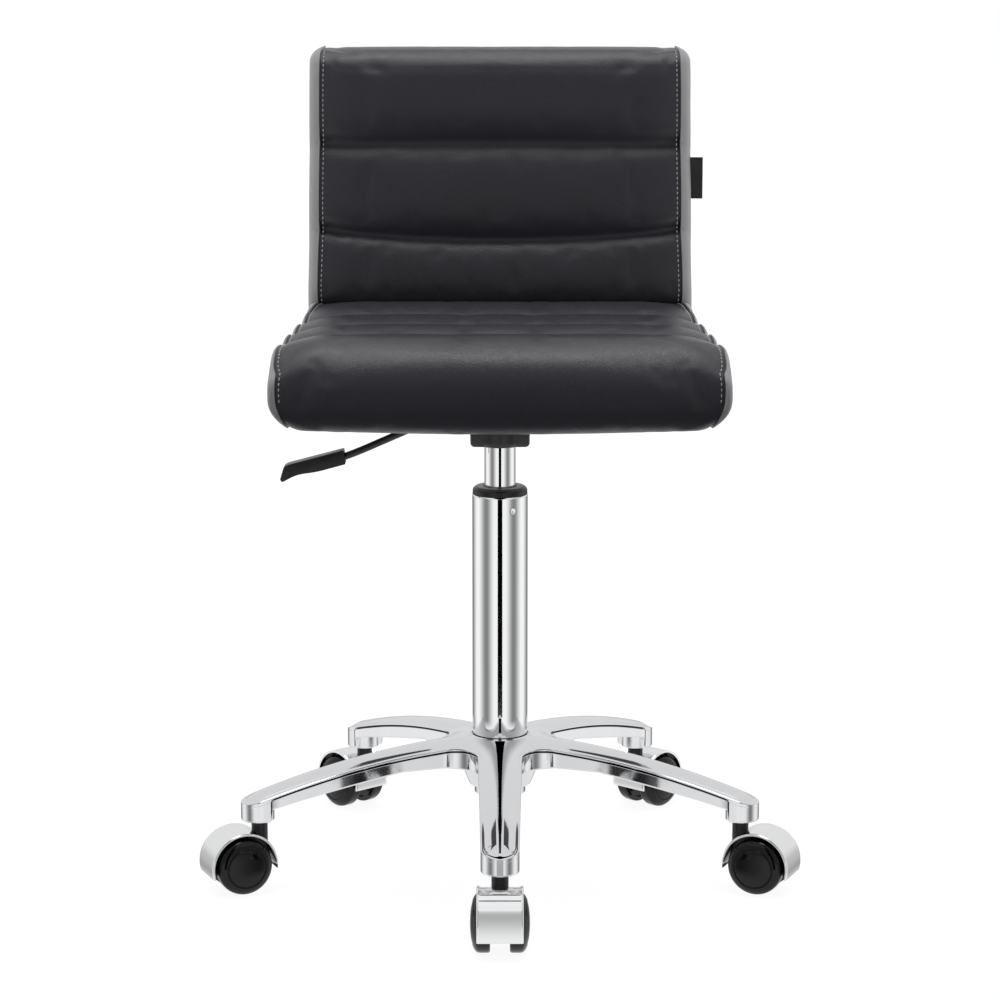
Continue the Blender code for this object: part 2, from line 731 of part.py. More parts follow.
def face_outline(inset):
    """Side view of the upholstered face, from under the front edge up to behind the top."""
    low = FRONT_LOW_RADIUS
    top = FRONT_TOP_RADIUS
    points = arc((PAD_FRONT_Y + low, PAD_BOTTOM_Z + low), low - inset, 270, 180, 5)
    peak = SEAT_TOP_Z + ROLL_BULGE
    points += arc((PAD_FRONT_Y + top, peak - top), top - inset, 180, 75, 7)
    creases = [Vector((y, SEAT_TOP_Z - inset)) for y in SEAT_CREASES]
    corner = Vector(JUNCTION) + Vector((inset * math.cos(BACK_LEAN), -inset))
    outline = [Vector(p) for p in points] + [creases[0]]
    for start, end in zip(creases, creases[1:] + [corner]):
        outline += roll(start, end, Vector((0.0, 1.0)))
    forward = Vector((-math.cos(BACK_LEAN), math.sin(BACK_LEAN)))
    marks = [corner] + [back_face_point(z, inset) for z in BACK_CREASES]
    for start, end in zip(marks, marks[1:]):
        outline += roll(start, end, forward)
    return outline + top_roll(marks[-1], inset, forward)


def top_roll(start, inset, forward):
    """The last channel, which turns over the top and a little way down the rear."""
    front = back_face_point(BACK_TOP_Z - TOP_FRONT_RADIUS) + forward * (ROLL_BULGE - inset)
    front_turn = back_face_point(BACK_TOP_Z - TOP_FRONT_RADIUS, TOP_FRONT_RADIUS - ROLL_BULGE)
    rise = start.lerp(front, 0.22) + forward * 0.0035
    rise_more = start.lerp(front, 0.5) + forward * 0.0022
    points = [rise, rise_more]
    points += [Vector(p) for p in arc(front_turn, TOP_FRONT_RADIUS - inset, 172, 90, 6)]
    rear_turn = back_face_point(BACK_TOP_Z - TOP_REAR_RADIUS, BACK_THICKNESS - TOP_REAR_RADIUS)
    rear_turn.y = BACK_TOP_Z - TOP_REAR_RADIUS
    lean = math.degrees(BACK_LEAN)
    points += [Vector(p) for p in arc(rear_turn, TOP_REAR_RADIUS - inset, 90, -lean, 5)]
    drop = (points[-1].y - COVER_END_Z - GAP) / math.cos(BACK_LEAN)
    return points + [points[-1] - back_direction() * drop]


def rear_outline(offset, front, end_z):
    """Side view of a surface parallel to the underside and rear, from the front edge to the top."""
    points = [Vector((front, PAD_BOTTOM_Z + offset))]
    lean = math.degrees(BACK_LEAN)
    points += [Vector(p) for p in arc(BEND_CENTRE, BEND_RADIUS - offset, 270, 360 - lean, 8)]
    rise = (end_z - points[-1].y) / math.cos(BACK_LEAN)
    return points + [points[-1] + back_direction() * rise]


def ribbon(outline, half_width):
    """Mesh of a side outline spread along X; the half width may follow the place."""
    mesh = prism([tuple(p) for p in outline], 1.0)
    moved(mesh, Matrix(((0, 0, 1, 0), (1, 0, 0, 0), (0, 1, 0, 0), (0, 0, 0, 1))))
    for vertex in mesh.vertices:
        reach = half_width(vertex.co.y)
        vertex.co.x = math.copysign(reach, vertex.co.x)
    return mesh


def inside_gussets(y):
    return pad_half_width(y) - GUSSET - GAP


def gusset_mesh(side):
    """Side panel: the pad's whole side outline, one gusset thick."""
    outline = face_outline(0.0008) + rear_outline(0.0008, PAD_FRONT_Y + 0.030, COVER_END_Z)[::-1]
    mesh = prism([tuple(p) for p in outline], 1.0)
    moved(mesh, Matrix(((0, 0, 1, 0), (1, 0, 0, 0), (0, 1, 0, 0), (0, 0, 0, 1))))
    for vertex in mesh.vertices:
        reach = pad_half_width(vertex.co.y)
        inner = vertex.co.x * side < 0
        vertex.co.x = side * (reach - GUSSET if inner else reach)
    return mesh


def build_upholstery(seat):
    front = PAD_FRONT_Y + 0.030
    cover_outline = rear_outline(0.0, front, COVER_END_Z)
    cover_outline += rear_outline(COVER, front, COVER_END_Z)[::-1]
    cover = ribbon(cover_outline, inside_gussets)
    cover = combined(cover, [("DIFFERENCE", bolt_holes(0.40, 0.45))])
    place("rear_cover", cover, VINYL, parent=seat)

    ply_low = COVER + GAP
    ply_outline = rear_outline(ply_low, PAD_FRONT_Y + 0.040, PLY_END_Z)
    ply_outline += rear_outline(ply_low + PLY, PAD_FRONT_Y + 0.040, PLY_END_Z)[::-1]
    shell = ribbon(ply_outline, lambda y: PLY_HALF_WIDTH)
    shell = combined(shell, [("DIFFERENCE", bolt_holes(0.40, 0.45))])
    place("plywood_shell", shell, PLYWOOD, parent=seat)

    skin_start = [Vector((front - GAP, PAD_BOTTOM_Z))]
    skin_end = [Vector((front - GAP, PAD_BOTTOM_Z + SKIN))]
    skin_outline = skin_start + face_outline(0.0) + face_outline(SKIN)[::-1] + skin_end
    place("face_cover", ribbon(skin_outline, inside_gussets), VINYL, parent=seat)

    foam_low = ply_low + PLY + GAP
    foam_top = face_outline(SKIN + GAP)
    foam_outline = foam_top[3:] + rear_outline(foam_low, PAD_FRONT_Y + 0.012, COVER_END_Z)[::-1]
    place("foam_core", ribbon(foam_outline, inside_gussets), FOAM, parent=seat)

    for side, name in ((-1, "gusset_left"), (1, "gusset_right")):
        place(name, gusset_mesh(side), GREY_VINYL, parent=seat)

    middle = back_face_point(sum(TAG_Z) / 2, 0.012)
    edge = pad_half_width(middle.x)
    tag = box(
        (edge + 0.0010, middle.x - 0.0007, TAG_Z[0]),
        (edge + 0.0010 + TAG_REACH, middle.x + 0.0007, TAG_Z[1]),
    )
    place("label_tag", tag, FABRIC, parent=seat)


def make_empty(name, parent=None, location=(0.0, 0.0, 0.0)):
    empty = bpy.data.objects.new(name, None)
    PARTS.objects.link(empty)
    empty.location = location
    empty.parent = parent
    return empty


def build_stool():
    root = make_empty("stool", location=(0.0, COLUMN_Y, 0.0))
    swivel = make_empty("seat_swivel_axis", root)
    seat = make_empty("seat_height_axis", swivel)
    lever = make_empty("lever_axis", seat)
    release = make_empty("release_axis", seat)
    build_star_base(root)
    build_column(root)
    build_gas_lift(swivel, seat)
    build_casters(root)
    build_mechanism(seat)
    build_lever(lever, release)
    build_upholstery(seat)


build_stool()
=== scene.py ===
"""Looks of the rolling stylist stool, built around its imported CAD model. Metres, +Z up, front towards -Y."""

import json
import math

import bmesh
import bpy
from mathutils import Matrix, Vector, noise


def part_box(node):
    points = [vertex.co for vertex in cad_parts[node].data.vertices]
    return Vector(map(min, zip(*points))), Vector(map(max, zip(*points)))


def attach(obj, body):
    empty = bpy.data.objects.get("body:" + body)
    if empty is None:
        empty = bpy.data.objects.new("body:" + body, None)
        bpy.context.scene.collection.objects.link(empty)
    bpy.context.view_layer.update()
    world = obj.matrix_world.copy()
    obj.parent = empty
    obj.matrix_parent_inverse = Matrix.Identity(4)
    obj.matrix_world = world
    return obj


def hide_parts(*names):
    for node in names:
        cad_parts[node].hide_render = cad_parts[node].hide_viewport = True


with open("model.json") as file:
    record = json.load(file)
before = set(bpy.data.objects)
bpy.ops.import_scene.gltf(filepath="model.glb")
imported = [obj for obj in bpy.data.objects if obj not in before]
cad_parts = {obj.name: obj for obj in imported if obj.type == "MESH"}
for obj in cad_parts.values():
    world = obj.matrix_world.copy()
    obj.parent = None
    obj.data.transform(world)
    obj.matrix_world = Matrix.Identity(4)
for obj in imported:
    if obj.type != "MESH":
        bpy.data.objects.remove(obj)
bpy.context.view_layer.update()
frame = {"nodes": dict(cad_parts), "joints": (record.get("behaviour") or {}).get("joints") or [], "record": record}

# ---------------------------------------------------------------- places, read from the frame

TUBE_LOW, TUBE_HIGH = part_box("column_tube")
COLUMN = Vector(((TUBE_LOW.x + TUBE_HIGH.x) / 2, (TUBE_LOW.y + TUBE_HIGH.y) / 2, 0.0))
PAD_LOW, PAD_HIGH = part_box("face_cover")
COVER_LOW, COVER_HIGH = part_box("rear_cover")
TAG_LOW, TAG_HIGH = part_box("label_tag")
HOUSING_LOW, HOUSING_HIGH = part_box("mechanism_housing")
BUSH_LOW, BUSH_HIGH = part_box("guide_bushing")
CYLINDER_LOW, CYLINDER_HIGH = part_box("gas_cylinder")
JOINTS = {joint["name"]: joint for joint in frame["joints"]}
NUMBERS = range(1, 6)
# Name of the mesh attribute that marks where painted shade goes on the metal.
PAINTED_SHADE = "painted_shade"


# ---------------------------------------------------------------- material nodes


def new_material(name, base, roughness, metallic=0.0):
    made = bpy.data.materials.new(name)
    made.use_nodes = True
    shader = made.node_tree.nodes["Principled BSDF"]
    shader.inputs["Base Color"].default_value = (*base, 1.0)
    shader.inputs["Roughness"].default_value = roughness
    shader.inputs["Metallic"].default_value = metallic
    return made, shader


def add_node(material, kind, **values):
    node = material.node_tree.nodes.new(kind)
    for key, value in values.items():
        if key in node.inputs:
            node.inputs[key].default_value = value
        else:
            setattr(node, key, value)
    return node


def wire(material, start, end):
    material.node_tree.links.new(start, end)


def object_place(material, scale=(1.0, 1.0, 1.0)):
    """Place on the piece, so that a texture stays with it as it moves."""
    coordinates = add_node(material, "ShaderNodeTexCoord")
    mapping = add_node(material, "ShaderNodeMapping")
    mapping.inputs["Scale"].default_value = scale
    wire(material, coordinates.outputs["Object"], mapping.inputs["Vector"])
    return mapping.outputs["Vector"]


def noise_at(material, place, scale, detail=3.0, roughness=0.5):
    node = add_node(material, "ShaderNodeTexNoise")
    node.inputs["Scale"].default_value = scale
    node.inputs["Detail"].default_value = detail
    node.inputs["Roughness"].default_value = roughness
    wire(material, place, node.inputs["Vector"])
    return node.outputs["Fac"]


def spread(material, value, low, high, start=0.0, end=1.0):
    """Map a texture's value from start..end to low..high."""
    node = add_node(material, "ShaderNodeMapRange")
    node.inputs["From Min"].default_value = start
    node.inputs["From Max"].default_value = end
    node.inputs["To Min"].default_value = low
    node.inputs["To Max"].default_value = high
    wire(material, value, node.inputs["Value"])
    return node.outputs["Result"]


def colour_mix(material, share):
    """A colour mix driven by a share: its two colour inputs and its output."""
    node = add_node(material, "ShaderNodeMix", data_type="RGBA")
    wire(material, share, node.inputs["Factor"])
    low, high = [socket for socket in node.inputs if socket.type == "RGBA"]
    output = [socket for socket in node.outputs if socket.type == "RGBA"][0]
    return low, high, output


def blended_colour(material, value, low, high):
    first, second, output = colour_mix(material, value)
    first.default_value = (*low, 1.0)
    second.default_value = (*high, 1.0)
    return output


def vary_colour(material, shader, value, low, high):
    wire(material, blended_colour(material, value, low, high), shader.inputs["Base Color"])


def vary_roughness(material, shader, value, low, high, start=0.0, end=1.0):
    wire(material, spread(material, value, low, high, start, end), shader.inputs["Roughness"])


def raised(material, shader, heights):
    """Bump from a list of (value, distance in metres, strength)."""
    last = None
    for value, distance, strength in heights:
        bump = add_node(material, "ShaderNodeBump")
        bump.inputs["Distance"].default_value = distance
        bump.inputs["Strength"].default_value = strength
        wire(material, value, bump.inputs["Height"])
        if last:
            wire(material, last, bump.inputs["Normal"])
        last = bump.outputs["Normal"]
    wire(material, last, shader.inputs["Normal"])


def paint_groove_shade(material, shader, colour, shade_colour=(0.010, 0.010, 0.011)):
    """Painted shade: where the mesh marks its grooves and joints, the metal's base colour turns near black."""
    shade_mark = add_node(material, "ShaderNodeAttribute")
    shade_mark.attribute_name = PAINTED_SHADE
    unshaded, dark, output = colour_mix(material, shade_mark.outputs["Fac"])
    wire(material, colour, unshaded)
    dark.default_value = (*shade_colour, 1.0)
    wire(material, output, shader.inputs["Base Color"])


def chrome():
    """Bright chrome plate with faint polishing haze."""
    made, shader = new_material("chrome", (0.90, 0.905, 0.915), 0.05, 1.0)
    place = object_place(made)
    haze = noise_at(made, place, 35.0, 4.0)
    vary_roughness(made, shader, haze, 0.028, 0.060, 0.3, 0.7)
    # Painted shade, near black, wherever a mesh marks it.
    paint_groove_shade(made, shader, blended_colour(made, haze, (0.88, 0.885, 0.895), (0.92, 0.925, 0.93)))
    raised(made, shader, [(noise_at(made, place, 18.0, 2.0), 0.0004, 0.05)])
    return made


def polished_aluminium():
    """Cast aluminium, polished: slight waviness, fine buffing marks and a faint cast mottling; painted shade where
    the mesh marks it.
    """
    made, shader = new_material("polished_aluminium", (0.80, 0.81, 0.82), 0.15, 1.0)
    place = object_place(made)
    mottle = noise_at(made, place, 60.0, 6.0, 0.6)
    # Painted shade, near black, in the grooves and joints the star base's mesh marks.
    paint_groove_shade(made, shader, blended_colour(made, mottle, (0.76, 0.765, 0.78), (0.82, 0.825, 0.84)))
    vary_roughness(made, shader, mottle, 0.035, 0.075, 0.3, 0.7)
    waves = noise_at(made, place, 22.0, 2.0)
    buffing = noise_at(made, object_place(made, (1.0, 1.0, 14.0)), 420.0, 3.0)
    raised(made, shader, [(waves, 0.0006, 0.03), (buffing, 0.00003, 0.10)])
    return made


def plain_steel():
    made, shader = new_material("steel", (0.55, 0.56, 0.58), 0.32, 1.0)
    place = object_place(made)
    turning = noise_at(made, object_place(made, (1.0, 1.0, 30.0)), 300.0, 2.0)
    vary_roughness(made, shader, noise_at(made, place, 90.0), 0.24, 0.42)
    raised(made, shader, [(turning, 0.00004, 0.4)])
    return made


def moulded_plastic(name, base, low, high, grain, gloss):
    """Black plastic: a fine moulded texture, with slightly uneven gloss."""
    made, shader = new_material(name, base, (low + high) / 2)
    shader.inputs["Specular IOR Level"].default_value = gloss
    place = object_place(made)
    uneven = noise_at(made, place, 55.0, 4.0)
    vary_roughness(made, shader, uneven, low, high, 0.3, 0.7)
    vary_colour(made, shader, uneven, base, tuple(1.35 * c for c in base))
    raised(made, shader, [(noise_at(made, place, 2600.0, 2.0), 0.00004, grain)])
    return made


def painted_steel():
    """Satin black powder coat with its light orange peel."""
    made, shader = new_material("black_painted_steel", (0.008, 0.008, 0.009), 0.36)
    place = object_place(made)
    peel = noise_at(made, place, 700.0, 2.0)
    vary_roughness(made, shader, noise_at(made, place, 40.0), 0.28, 0.44)
    vary_colour(made, shader, peel, (0.006, 0.006, 0.007), (0.011, 0.011, 0.012))
    raised(made, shader, [(peel, 0.00012, 0.35)])
    return made


def soft_rubber():
    made, shader = new_material("rubber", (0.028, 0.028, 0.028), 0.78)
    place = object_place(made)
    vary_roughness(made, shader, noise_at(made, place, 120.0), 0.68, 0.86)
    raised(made, shader, [(noise_at(made, place, 1500.0), 0.00005, 0.4)])
    return made


def vinyl(name, dark, light, low, high):
    """Artificial leather: pebbled grain in cells about a millimetre wide, with fine pores between them."""
    made, shader = new_material(name, dark, (low + high) / 2)
    shader.inputs["Specular IOR Level"].default_value = 0.5
    place = object_place(made)
    warp = noise_at(made, place, 240.0, 2.0)
    cells = add_node(made, "ShaderNodeTexVoronoi")
    cells.feature = "DISTANCE_TO_EDGE"
    cells.inputs["Scale"].default_value = 760.0
    cells.inputs["Randomness"].default_value = 1.0
    wire(made, place, cells.inputs["Vector"])
    pebbles = spread(made, cells.outputs["Distance"], 0.0, 1.0, 0.0, 0.22)
    creases = noise_at(made, place, 130.0, 5.0, 0.6)
    broad = noise_at(made, place, 14.0, 3.0)
    vary_colour(made, shader, broad, dark, light)
    vary_roughness(made, shader, creases, low, high, 0.3, 0.7)
    raised(made, shader, [(creases, 0.0007, 0.20), (warp, 0.0003, 0.16), (pebbles, 0.00014, 0.50)])
    return made


def thread():
    made, shader = new_material("thread", (0.58, 0.58, 0.59), 0.6)
    place = object_place(made)
    twist = noise_at(made, place, 1800.0, 2.0)
    vary_colour(made, shader, twist, (0.48, 0.48, 0.49), (0.68, 0.68, 0.69))
    raised(made, shader, [(twist, 0.0001, 0.5)])
    return made


def woven_tag():
    """Black woven ribbon: warp and weft threads about a third of a millimetre wide."""
    made, shader = new_material("tag_fabric", (0.014, 0.014, 0.015), 0.75)
    shader.inputs["Sheen Weight"].default_value = 0.25
    waves = []
    for direction in ("Y", "Z"):
        weave = add_node(made, "ShaderNodeTexWave")
        weave.bands_direction = direction
        weave.inputs["Scale"].default_value = 480.0
        weave.inputs["Distortion"].default_value = 0.6
        wire(made, object_place(made), weave.inputs["Vector"])
        waves.append(weave.outputs["Fac"])
    vary_colour(made, shader, waves[1], (0.010, 0.010, 0.011), (0.030, 0.030, 0.032))
    raised(made, shader, [(waves[0], 0.00012, 0.5), (waves[1], 0.00012, 0.5)])
    return made


def plywood():
    made, shader = new_material("plywood", (0.62, 0.46, 0.28), 0.6)
    layers = add_node(made, "ShaderNodeTexWave")
    layers.inputs["Scale"].default_value = 90.0
    layers.inputs["Distortion"].default_value = 2.5
    wire(made, object_place(made, (0.2, 1.0, 1.0)), layers.inputs["Vector"])
    vary_colour(made, shader, layers.outputs["Fac"], (0.50, 0.35, 0.20), (0.68, 0.52, 0.33))
    raised(made, shader, [(layers.outputs["Fac"], 0.0001, 0.3)])
    return made


def foam():
    made, shader = new_material("foam", (0.75, 0.72, 0.60), 0.9)
    pores = noise_at(made, object_place(made), 900.0, 3.0)
    vary_colour(made, shader, pores, (0.66, 0.62, 0.50), (0.80, 0.77, 0.66))
    raised(made, shader, [(pores, 0.0004, 0.6)])
    return made


MATERIALS = {
    "chrome": chrome(),
    "polished_aluminium": polished_aluminium(),
    "steel": plain_steel(),
    "black_plastic": moulded_plastic("black_plastic", (0.007, 0.007, 0.008), 0.26, 0.40, 0.30, 0.35),
    "glossy_wheel": moulded_plastic("glossy_wheel", (0.003, 0.003, 0.0035), 0.06, 0.12, 0.06, 0.30),
    "black_painted_steel": painted_steel(),
    "rubber": soft_rubber(),
    "black_vinyl": vinyl("black_vinyl", (0.0275, 0.0258, 0.0340), (0.0335, 0.0315, 0.0410), 0.33, 0.43),
    "grey_vinyl": vinyl("grey_vinyl", (0.34, 0.34, 0.348), (0.39, 0.39, 0.399), 0.38, 0.50),
    "foam": foam(),
    "plywood": plywood(),
    "tag_fabric": woven_tag(),
    "thread": thread(),
}


def finish_cad_nodes():
    """Give every CAD node that stays in view its full material."""
    slots = {part["node"]: part["material_slot"] for part in frame["record"]["subparts"]}
    for name, node in frame["nodes"].items():
        node.data.materials.clear()
        node.data.materials.append(MATERIALS[slots[name]])


# ---------------------------------------------------------------- mesh helpers


def smooth_mesh(mesh, angle=35):
    mesh.shade_smooth()
    mesh.set_sharp_from_angle(angle=math.radians(angle))
    return mesh


def linked(name, data):
    """A new object in the scene."""
    obj = bpy.data.objects.new(name, data)
    bpy.context.scene.collection.objects.link(obj)
    return obj


def evaluated(obj):
    """The mesh of an object with its modifiers applied."""
    graph = bpy.context.evaluated_depsgraph_get()
    return bpy.data.meshes.new_from_object(obj.evaluated_get(graph))


def mesh_from(work, name):
    """Mesh from a bmesh, which is freed."""
    mesh = bpy.data.meshes.new(name)
    work.to_mesh(mesh)
    work.free()
    return mesh


def facing_out(mesh, fill=False):
    """Turn every face outwards, after closing the open ends if asked."""
    work = bmesh.new()
    work.from_mesh(mesh)
    if fill:
        bmesh.ops.holes_fill(work, edges=[e for e in work.edges if e.is_boundary])
    bmesh.ops.recalc_face_normals(work, faces=work.faces)
    work.to_mesh(mesh)
    work.free()


def cleaned(mesh, distance=1e-6):
    work = bmesh.new()
    work.from_mesh(mesh)
    bmesh.ops.remove_doubles(work, verts=work.verts, dist=distance)
    bmesh.ops.dissolve_degenerate(work, edges=work.edges, dist=1e-7)
    bmesh.ops.recalc_face_normals(work, faces=work.faces)
    work.to_mesh(mesh)
    work.free()
    return mesh


def grid_mesh(rows, loop_rows=False, loop_columns=False):
    """Quads between neighbouring rows of points."""
    count = len(rows[0])
    points = [tuple(p) for row in rows for p in row]
    faces = []
    for i in range(len(rows) if loop_rows else len(rows) - 1):
        below = (i + 1) % len(rows)
        for j in range(count if loop_columns else count - 1):
            beside = (j + 1) % count
            faces.append((i * count + j, i * count + beside, below * count + beside, below * count + j))
    mesh = bpy.data.meshes.new("grid")
    mesh.from_pydata(points, [], faces)
    return mesh


def softened(profile, radius, count=4, closed=False):
    """Round a flat outline's corners; a third value of a point is its own radius."""
    points = [Vector(p[:2]) for p in profile]
    radii = [p[2] if len(p) > 2 else radius for p in profile]
    total = len(points)
    result = []
    for i, point in enumerate(points):
        if not closed and i in (0, total - 1) or radii[i] == 0:
            result.append(tuple(point))
            continue
        back = points[i - 1] - point
        ahead = points[(i + 1) % total] - point
        reach = min(radii[i], 0.49 * back.length, 0.49 * ahead.length)
        start = point + back.normalized() * reach
        end = point + ahead.normalized() * reach
        for k in range(count + 1):
            share = k / count
            a = start.lerp(point, share)
            b = point.lerp(end, share)
            result.append(tuple(a.lerp(b, share)))
    return result


def turned(profile, steps, closed=False):
    """Mesh of (radius, height) points turned about Z."""
    rows = []
    for k in range(steps):
        angle = 2 * math.pi * k / steps
        rows.append([(r * math.cos(angle), r * math.sin(angle), z) for r, z in profile])
    mesh = grid_mesh(rows, loop_rows=True, loop_columns=closed)
    return cleaned(mesh)


def moved(mesh, matrix):
    mesh.transform(matrix)
    return mesh


def merged(meshes):
    work = bmesh.new()
    for mesh in meshes:
        work.from_mesh(mesh)
    return mesh_from(work, "merged")


def modified(mesh, *changes):
    """Mesh after a list of (modifier kind, settings)."""
    obj = linked("work", mesh)
    for kind, settings in changes:
        modifier = obj.modifiers.new(kind.lower(), kind)
        for key, value in settings.items():
            setattr(modifier, key, value)
    result = evaluated(obj)
    bpy.data.objects.remove(obj, do_unlink=True)
    return result


def slab(outline, half_depth, bevel, segments=3):
    """Flat outline in XZ, thickened along Y both ways, with rounded edges."""
    work = bmesh.new()
    ring = [work.verts.new((x, -half_depth, z)) for x, z in outline]
    face = work.faces.new(ring)
    side = bmesh.ops.extrude_face_region(work, geom=[face])
    fresh = [v for v in side["geom"] if isinstance(v, bmesh.types.BMVert)]
    bmesh.ops.translate(work, vec=(0.0, 2 * half_depth, 0.0), verts=fresh)
    bmesh.ops.recalc_face_normals(work, faces=work.faces)
    mesh = mesh_from(work, "slab")
    limits = {"width": bevel, "segments": segments, "limit_method": "ANGLE", "angle_limit": math.radians(28)}
    return modified(mesh, ("BEVEL", limits))


def tube_along(points, radius, sides=12):
    """Mesh tube through 3-D points, closed at both ends."""
    curve = bpy.data.curves.new("tube", "CURVE")
    curve.dimensions = "3D"
    curve.bevel_depth = radius
    curve.bevel_resolution = max(1, sides // 4 - 1)
    curve.use_fill_caps = True
    spline = curve.splines.new("POLY")
    spline.points.add(len(points) - 1)
    for point, place in zip(spline.points, points):
        point.co = (*place, 1.0)
    obj = linked("tube", curve)
    mesh = evaluated(obj)
    bpy.data.objects.remove(obj, do_unlink=True)
    return cleaned(mesh)


def piece(name, mesh, slot, body, *nodes):
    """A finished piece: it takes its material, rides on a body and stands for CAD nodes."""
    mesh.materials.clear()
    mesh.materials.append(MATERIALS[slot])
    obj = linked(name, mesh)
    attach(obj, body)
    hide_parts(*nodes)
    return obj


def arc(centre, radius, start, end, count):
    steps = [math.radians(start + (end - start) * k / count) for k in range(count + 1)]
    return [(centre[0] + radius * math.cos(a), centre[1] + radius * math.sin(a)) for a in steps]


def ease(value, low, high):
    share = min(1.0, max(0.0, (value - low) / (high - low)))
    return share * share * (3 - 2 * share)


# ---------------------------------------------------------------- star base

STEM_RADIUS = 0.225
NOSE_RADIUS = 0.0163
ROOT_HALF = 0.0195
ROOT_AT = 0.075
WEB_FILLET = 0.024
HUB_RADIUS = 0.0237
CROWN_Z = TUBE_LOW.z + 0.0535
CROWN_DROP = 0.71
NOSE_BOTTOM_Z = 0.0625
LEG_WALL = 0.0050
CAMBER = 0.0038
CAMBER_RISE = 0.0016
EDGE_REACH = 0.0034
EDGE_DROP = 0.0014
GROOVE_TALL = 0.0019
GROOVE_DEEP = 0.0013
RECESS = 0.0005
NOSE_LINE = 0.2176
LEG_ANGLES = [math.radians(a) for a in (-90, -18, 54, 126, 198)]


def crown(radius):
    return CROWN_Z - CROWN_DROP * radius**2


def leg_underside(radius):
    """Height of a leg's lower edge, by distance from the column."""
    marks = [
        (0.0, 0.0950),
        (0.036, 0.0965),
        (0.062, 0.0990),
        (0.100, 0.0983),
        (0.146, 0.0894),
        (0.192, 0.0797),
        (0.2175, 0.0735),
        (0.2185, NOSE_BOTTOM_Z),
        (0.260, NOSE_BOTTOM_Z),
    ]
    for (r0, z0), (r1, z1) in zip(marks, marks[1:]):
        if radius <= r1:
            return z0 + (z1 - z0) * (radius - r0) / (r1 - r0)
    return NOSE_BOTTOM_Z


def half_leg_lines():
    """For half a leg: the plan outline from the web's middle to the tip, and the spine facing it."""
    half_step = math.radians(36)
    taper = math.atan((ROOT_HALF - NOSE_RADIUS) / (STEM_RADIUS - ROOT_AT))
    root = ROOT_HALF + (ROOT_HALF - NOSE_RADIUS) * ROOT_AT / (STEM_RADIUS - ROOT_AT)
    reach = (root * math.cos(taper) + WEB_FILLET) / math.sin(half_step + taper)
    web = (reach * math.cos(half_step), reach * math.sin(half_step))
    fillet = arc(web, WEB_FILLET, 216, 270 - math.degrees(taper), 18)
    hub = arc((0.0, 0.0), HUB_RADIUS, 36, 0, 18)
    start = fillet[-1]
    places = [start[0] + (STEM_RADIUS - start[0]) * k / 44 for k in range(1, 44)]
    places = [u for u in places if abs(u - NOSE_LINE) > 0.0012]
    places = sorted(places + [0.2025, 0.2035, NOSE_LINE - 0.0008, NOSE_LINE, NOSE_LINE + 0.0008])
    side = []
    spine = []
    for u in places:
        share = (u - start[0]) / (STEM_RADIUS - start[0])
        side.append((u, start[1] + (NOSE_RADIUS - start[1]) * share))
        spine.append((HUB_RADIUS + (STEM_RADIUS - HUB_RADIUS) * share, 0.0))
    nose = arc((STEM_RADIUS, 0.0), NOSE_RADIUS, 90, 0, 16)
    return fillet + side + nose, hub + spine + [(STEM_RADIUS, 0.0)] * len(nose)


def inward_normals(outline):
    """Unit normals of the half outline, pointing into the leg."""
    normals = []
    for i in range(len(outline)):
        before = Vector(outline[max(0, i - 1)])
        after = Vector(outline[min(len(outline) - 1, i + 1)])
        run = (after - before).normalized()
        normals.append(Vector((run.y, -run.x)))
    normals[0] = Vector((math.cos(math.radians(36)), math.sin(math.radians(36)))) * -1
    normals[-1] = Vector((-1.0, 0.0))
    return normals


def leg_section(outer, spine, inward):
    """One closed section of a leg: over the top, round the edge, across the groove, down and up inside.

    Returns the points and, for each, its share of painted shade: in the groove and on the nose's joint line.
    """
    outer = Vector(outer)
    spine = Vector(spine)
    distance = outer.length
    marks = []
    section = []

    def add(inset, z, shade_mark=0.0):
        place = outer + inward * inset
        section.append((place.x, place.y, z))
        marks.append(shade_mark)

    edge_top = outer + inward * EDGE_REACH
    for k in range(13):
        share = (k / 12) ** 0.9
        place = spine.lerp(edge_top, share)
        section.append((place.x, place.y, crown(place.length) + CAMBER_RISE - CAMBER * share**2))
        marks.append(0.0)
    level = crown(edge_top.length) + CAMBER_RISE - CAMBER
    for k in range(1, 7):
        turn = math.pi / 2 * k / 6
        add(EDGE_REACH * (1 - math.sin(turn)), level - EDGE_DROP * (1 - math.cos(turn)))
    lip = level - EDGE_DROP - 0.0006
    add(0.0, lip + 0.0005)
    nose = ease(distance, 0.2150, 0.2185)
    open_groove = (1 - nose) * ease(distance, 0.030, 0.050)
    deep = GROOVE_DEEP * open_groove
    # Painted shade: the groove's points and the nose's joint line get a share that turns the metal near black.
    joint = 1.0 if abs(outer.x - NOSE_LINE) < 0.0002 else 0.0
    recess = RECESS * open_groove + 0.0012 * joint
    add(0.0, lip)
    add(deep, lip - 0.0001, open_groove)
    add(deep, lip - GROOVE_TALL, open_groove)
    add(recess + 0.0003, lip - GROOVE_TALL, max(joint, open_groove * 0.3))
    add(recess, lip - GROOVE_TALL - 0.0003, joint)
    add(recess, lip - GROOVE_TALL - 0.0009, joint)
    bottom = leg_underside(distance)
    add(recess, bottom + 0.0018, joint)
    add(recess, bottom + 0.0012, joint)
    add(recess + 0.0003, bottom + 0.0003)
    add(recess + 0.0010, bottom)
    open_below = 0.052 < distance < 0.2030
    add(LEG_WALL, bottom)
    roof = level - LEG_WALL if open_below else bottom
    add(LEG_WALL + 0.0003, roof)
    inner_roof = crown(spine.length) - LEG_WALL if open_below else bottom
    section.append((spine.x, spine.y, inner_roof))
    marks.append(0.0)
    return section, marks


def store_painted_shade(mesh, marks):
    """Store on the mesh how much painted shade each point gets."""
    layer = mesh.attributes.new(PAINTED_SHADE, "FLOAT", "POINT")
    layer.data.foreach_set("value", marks)
    return mesh


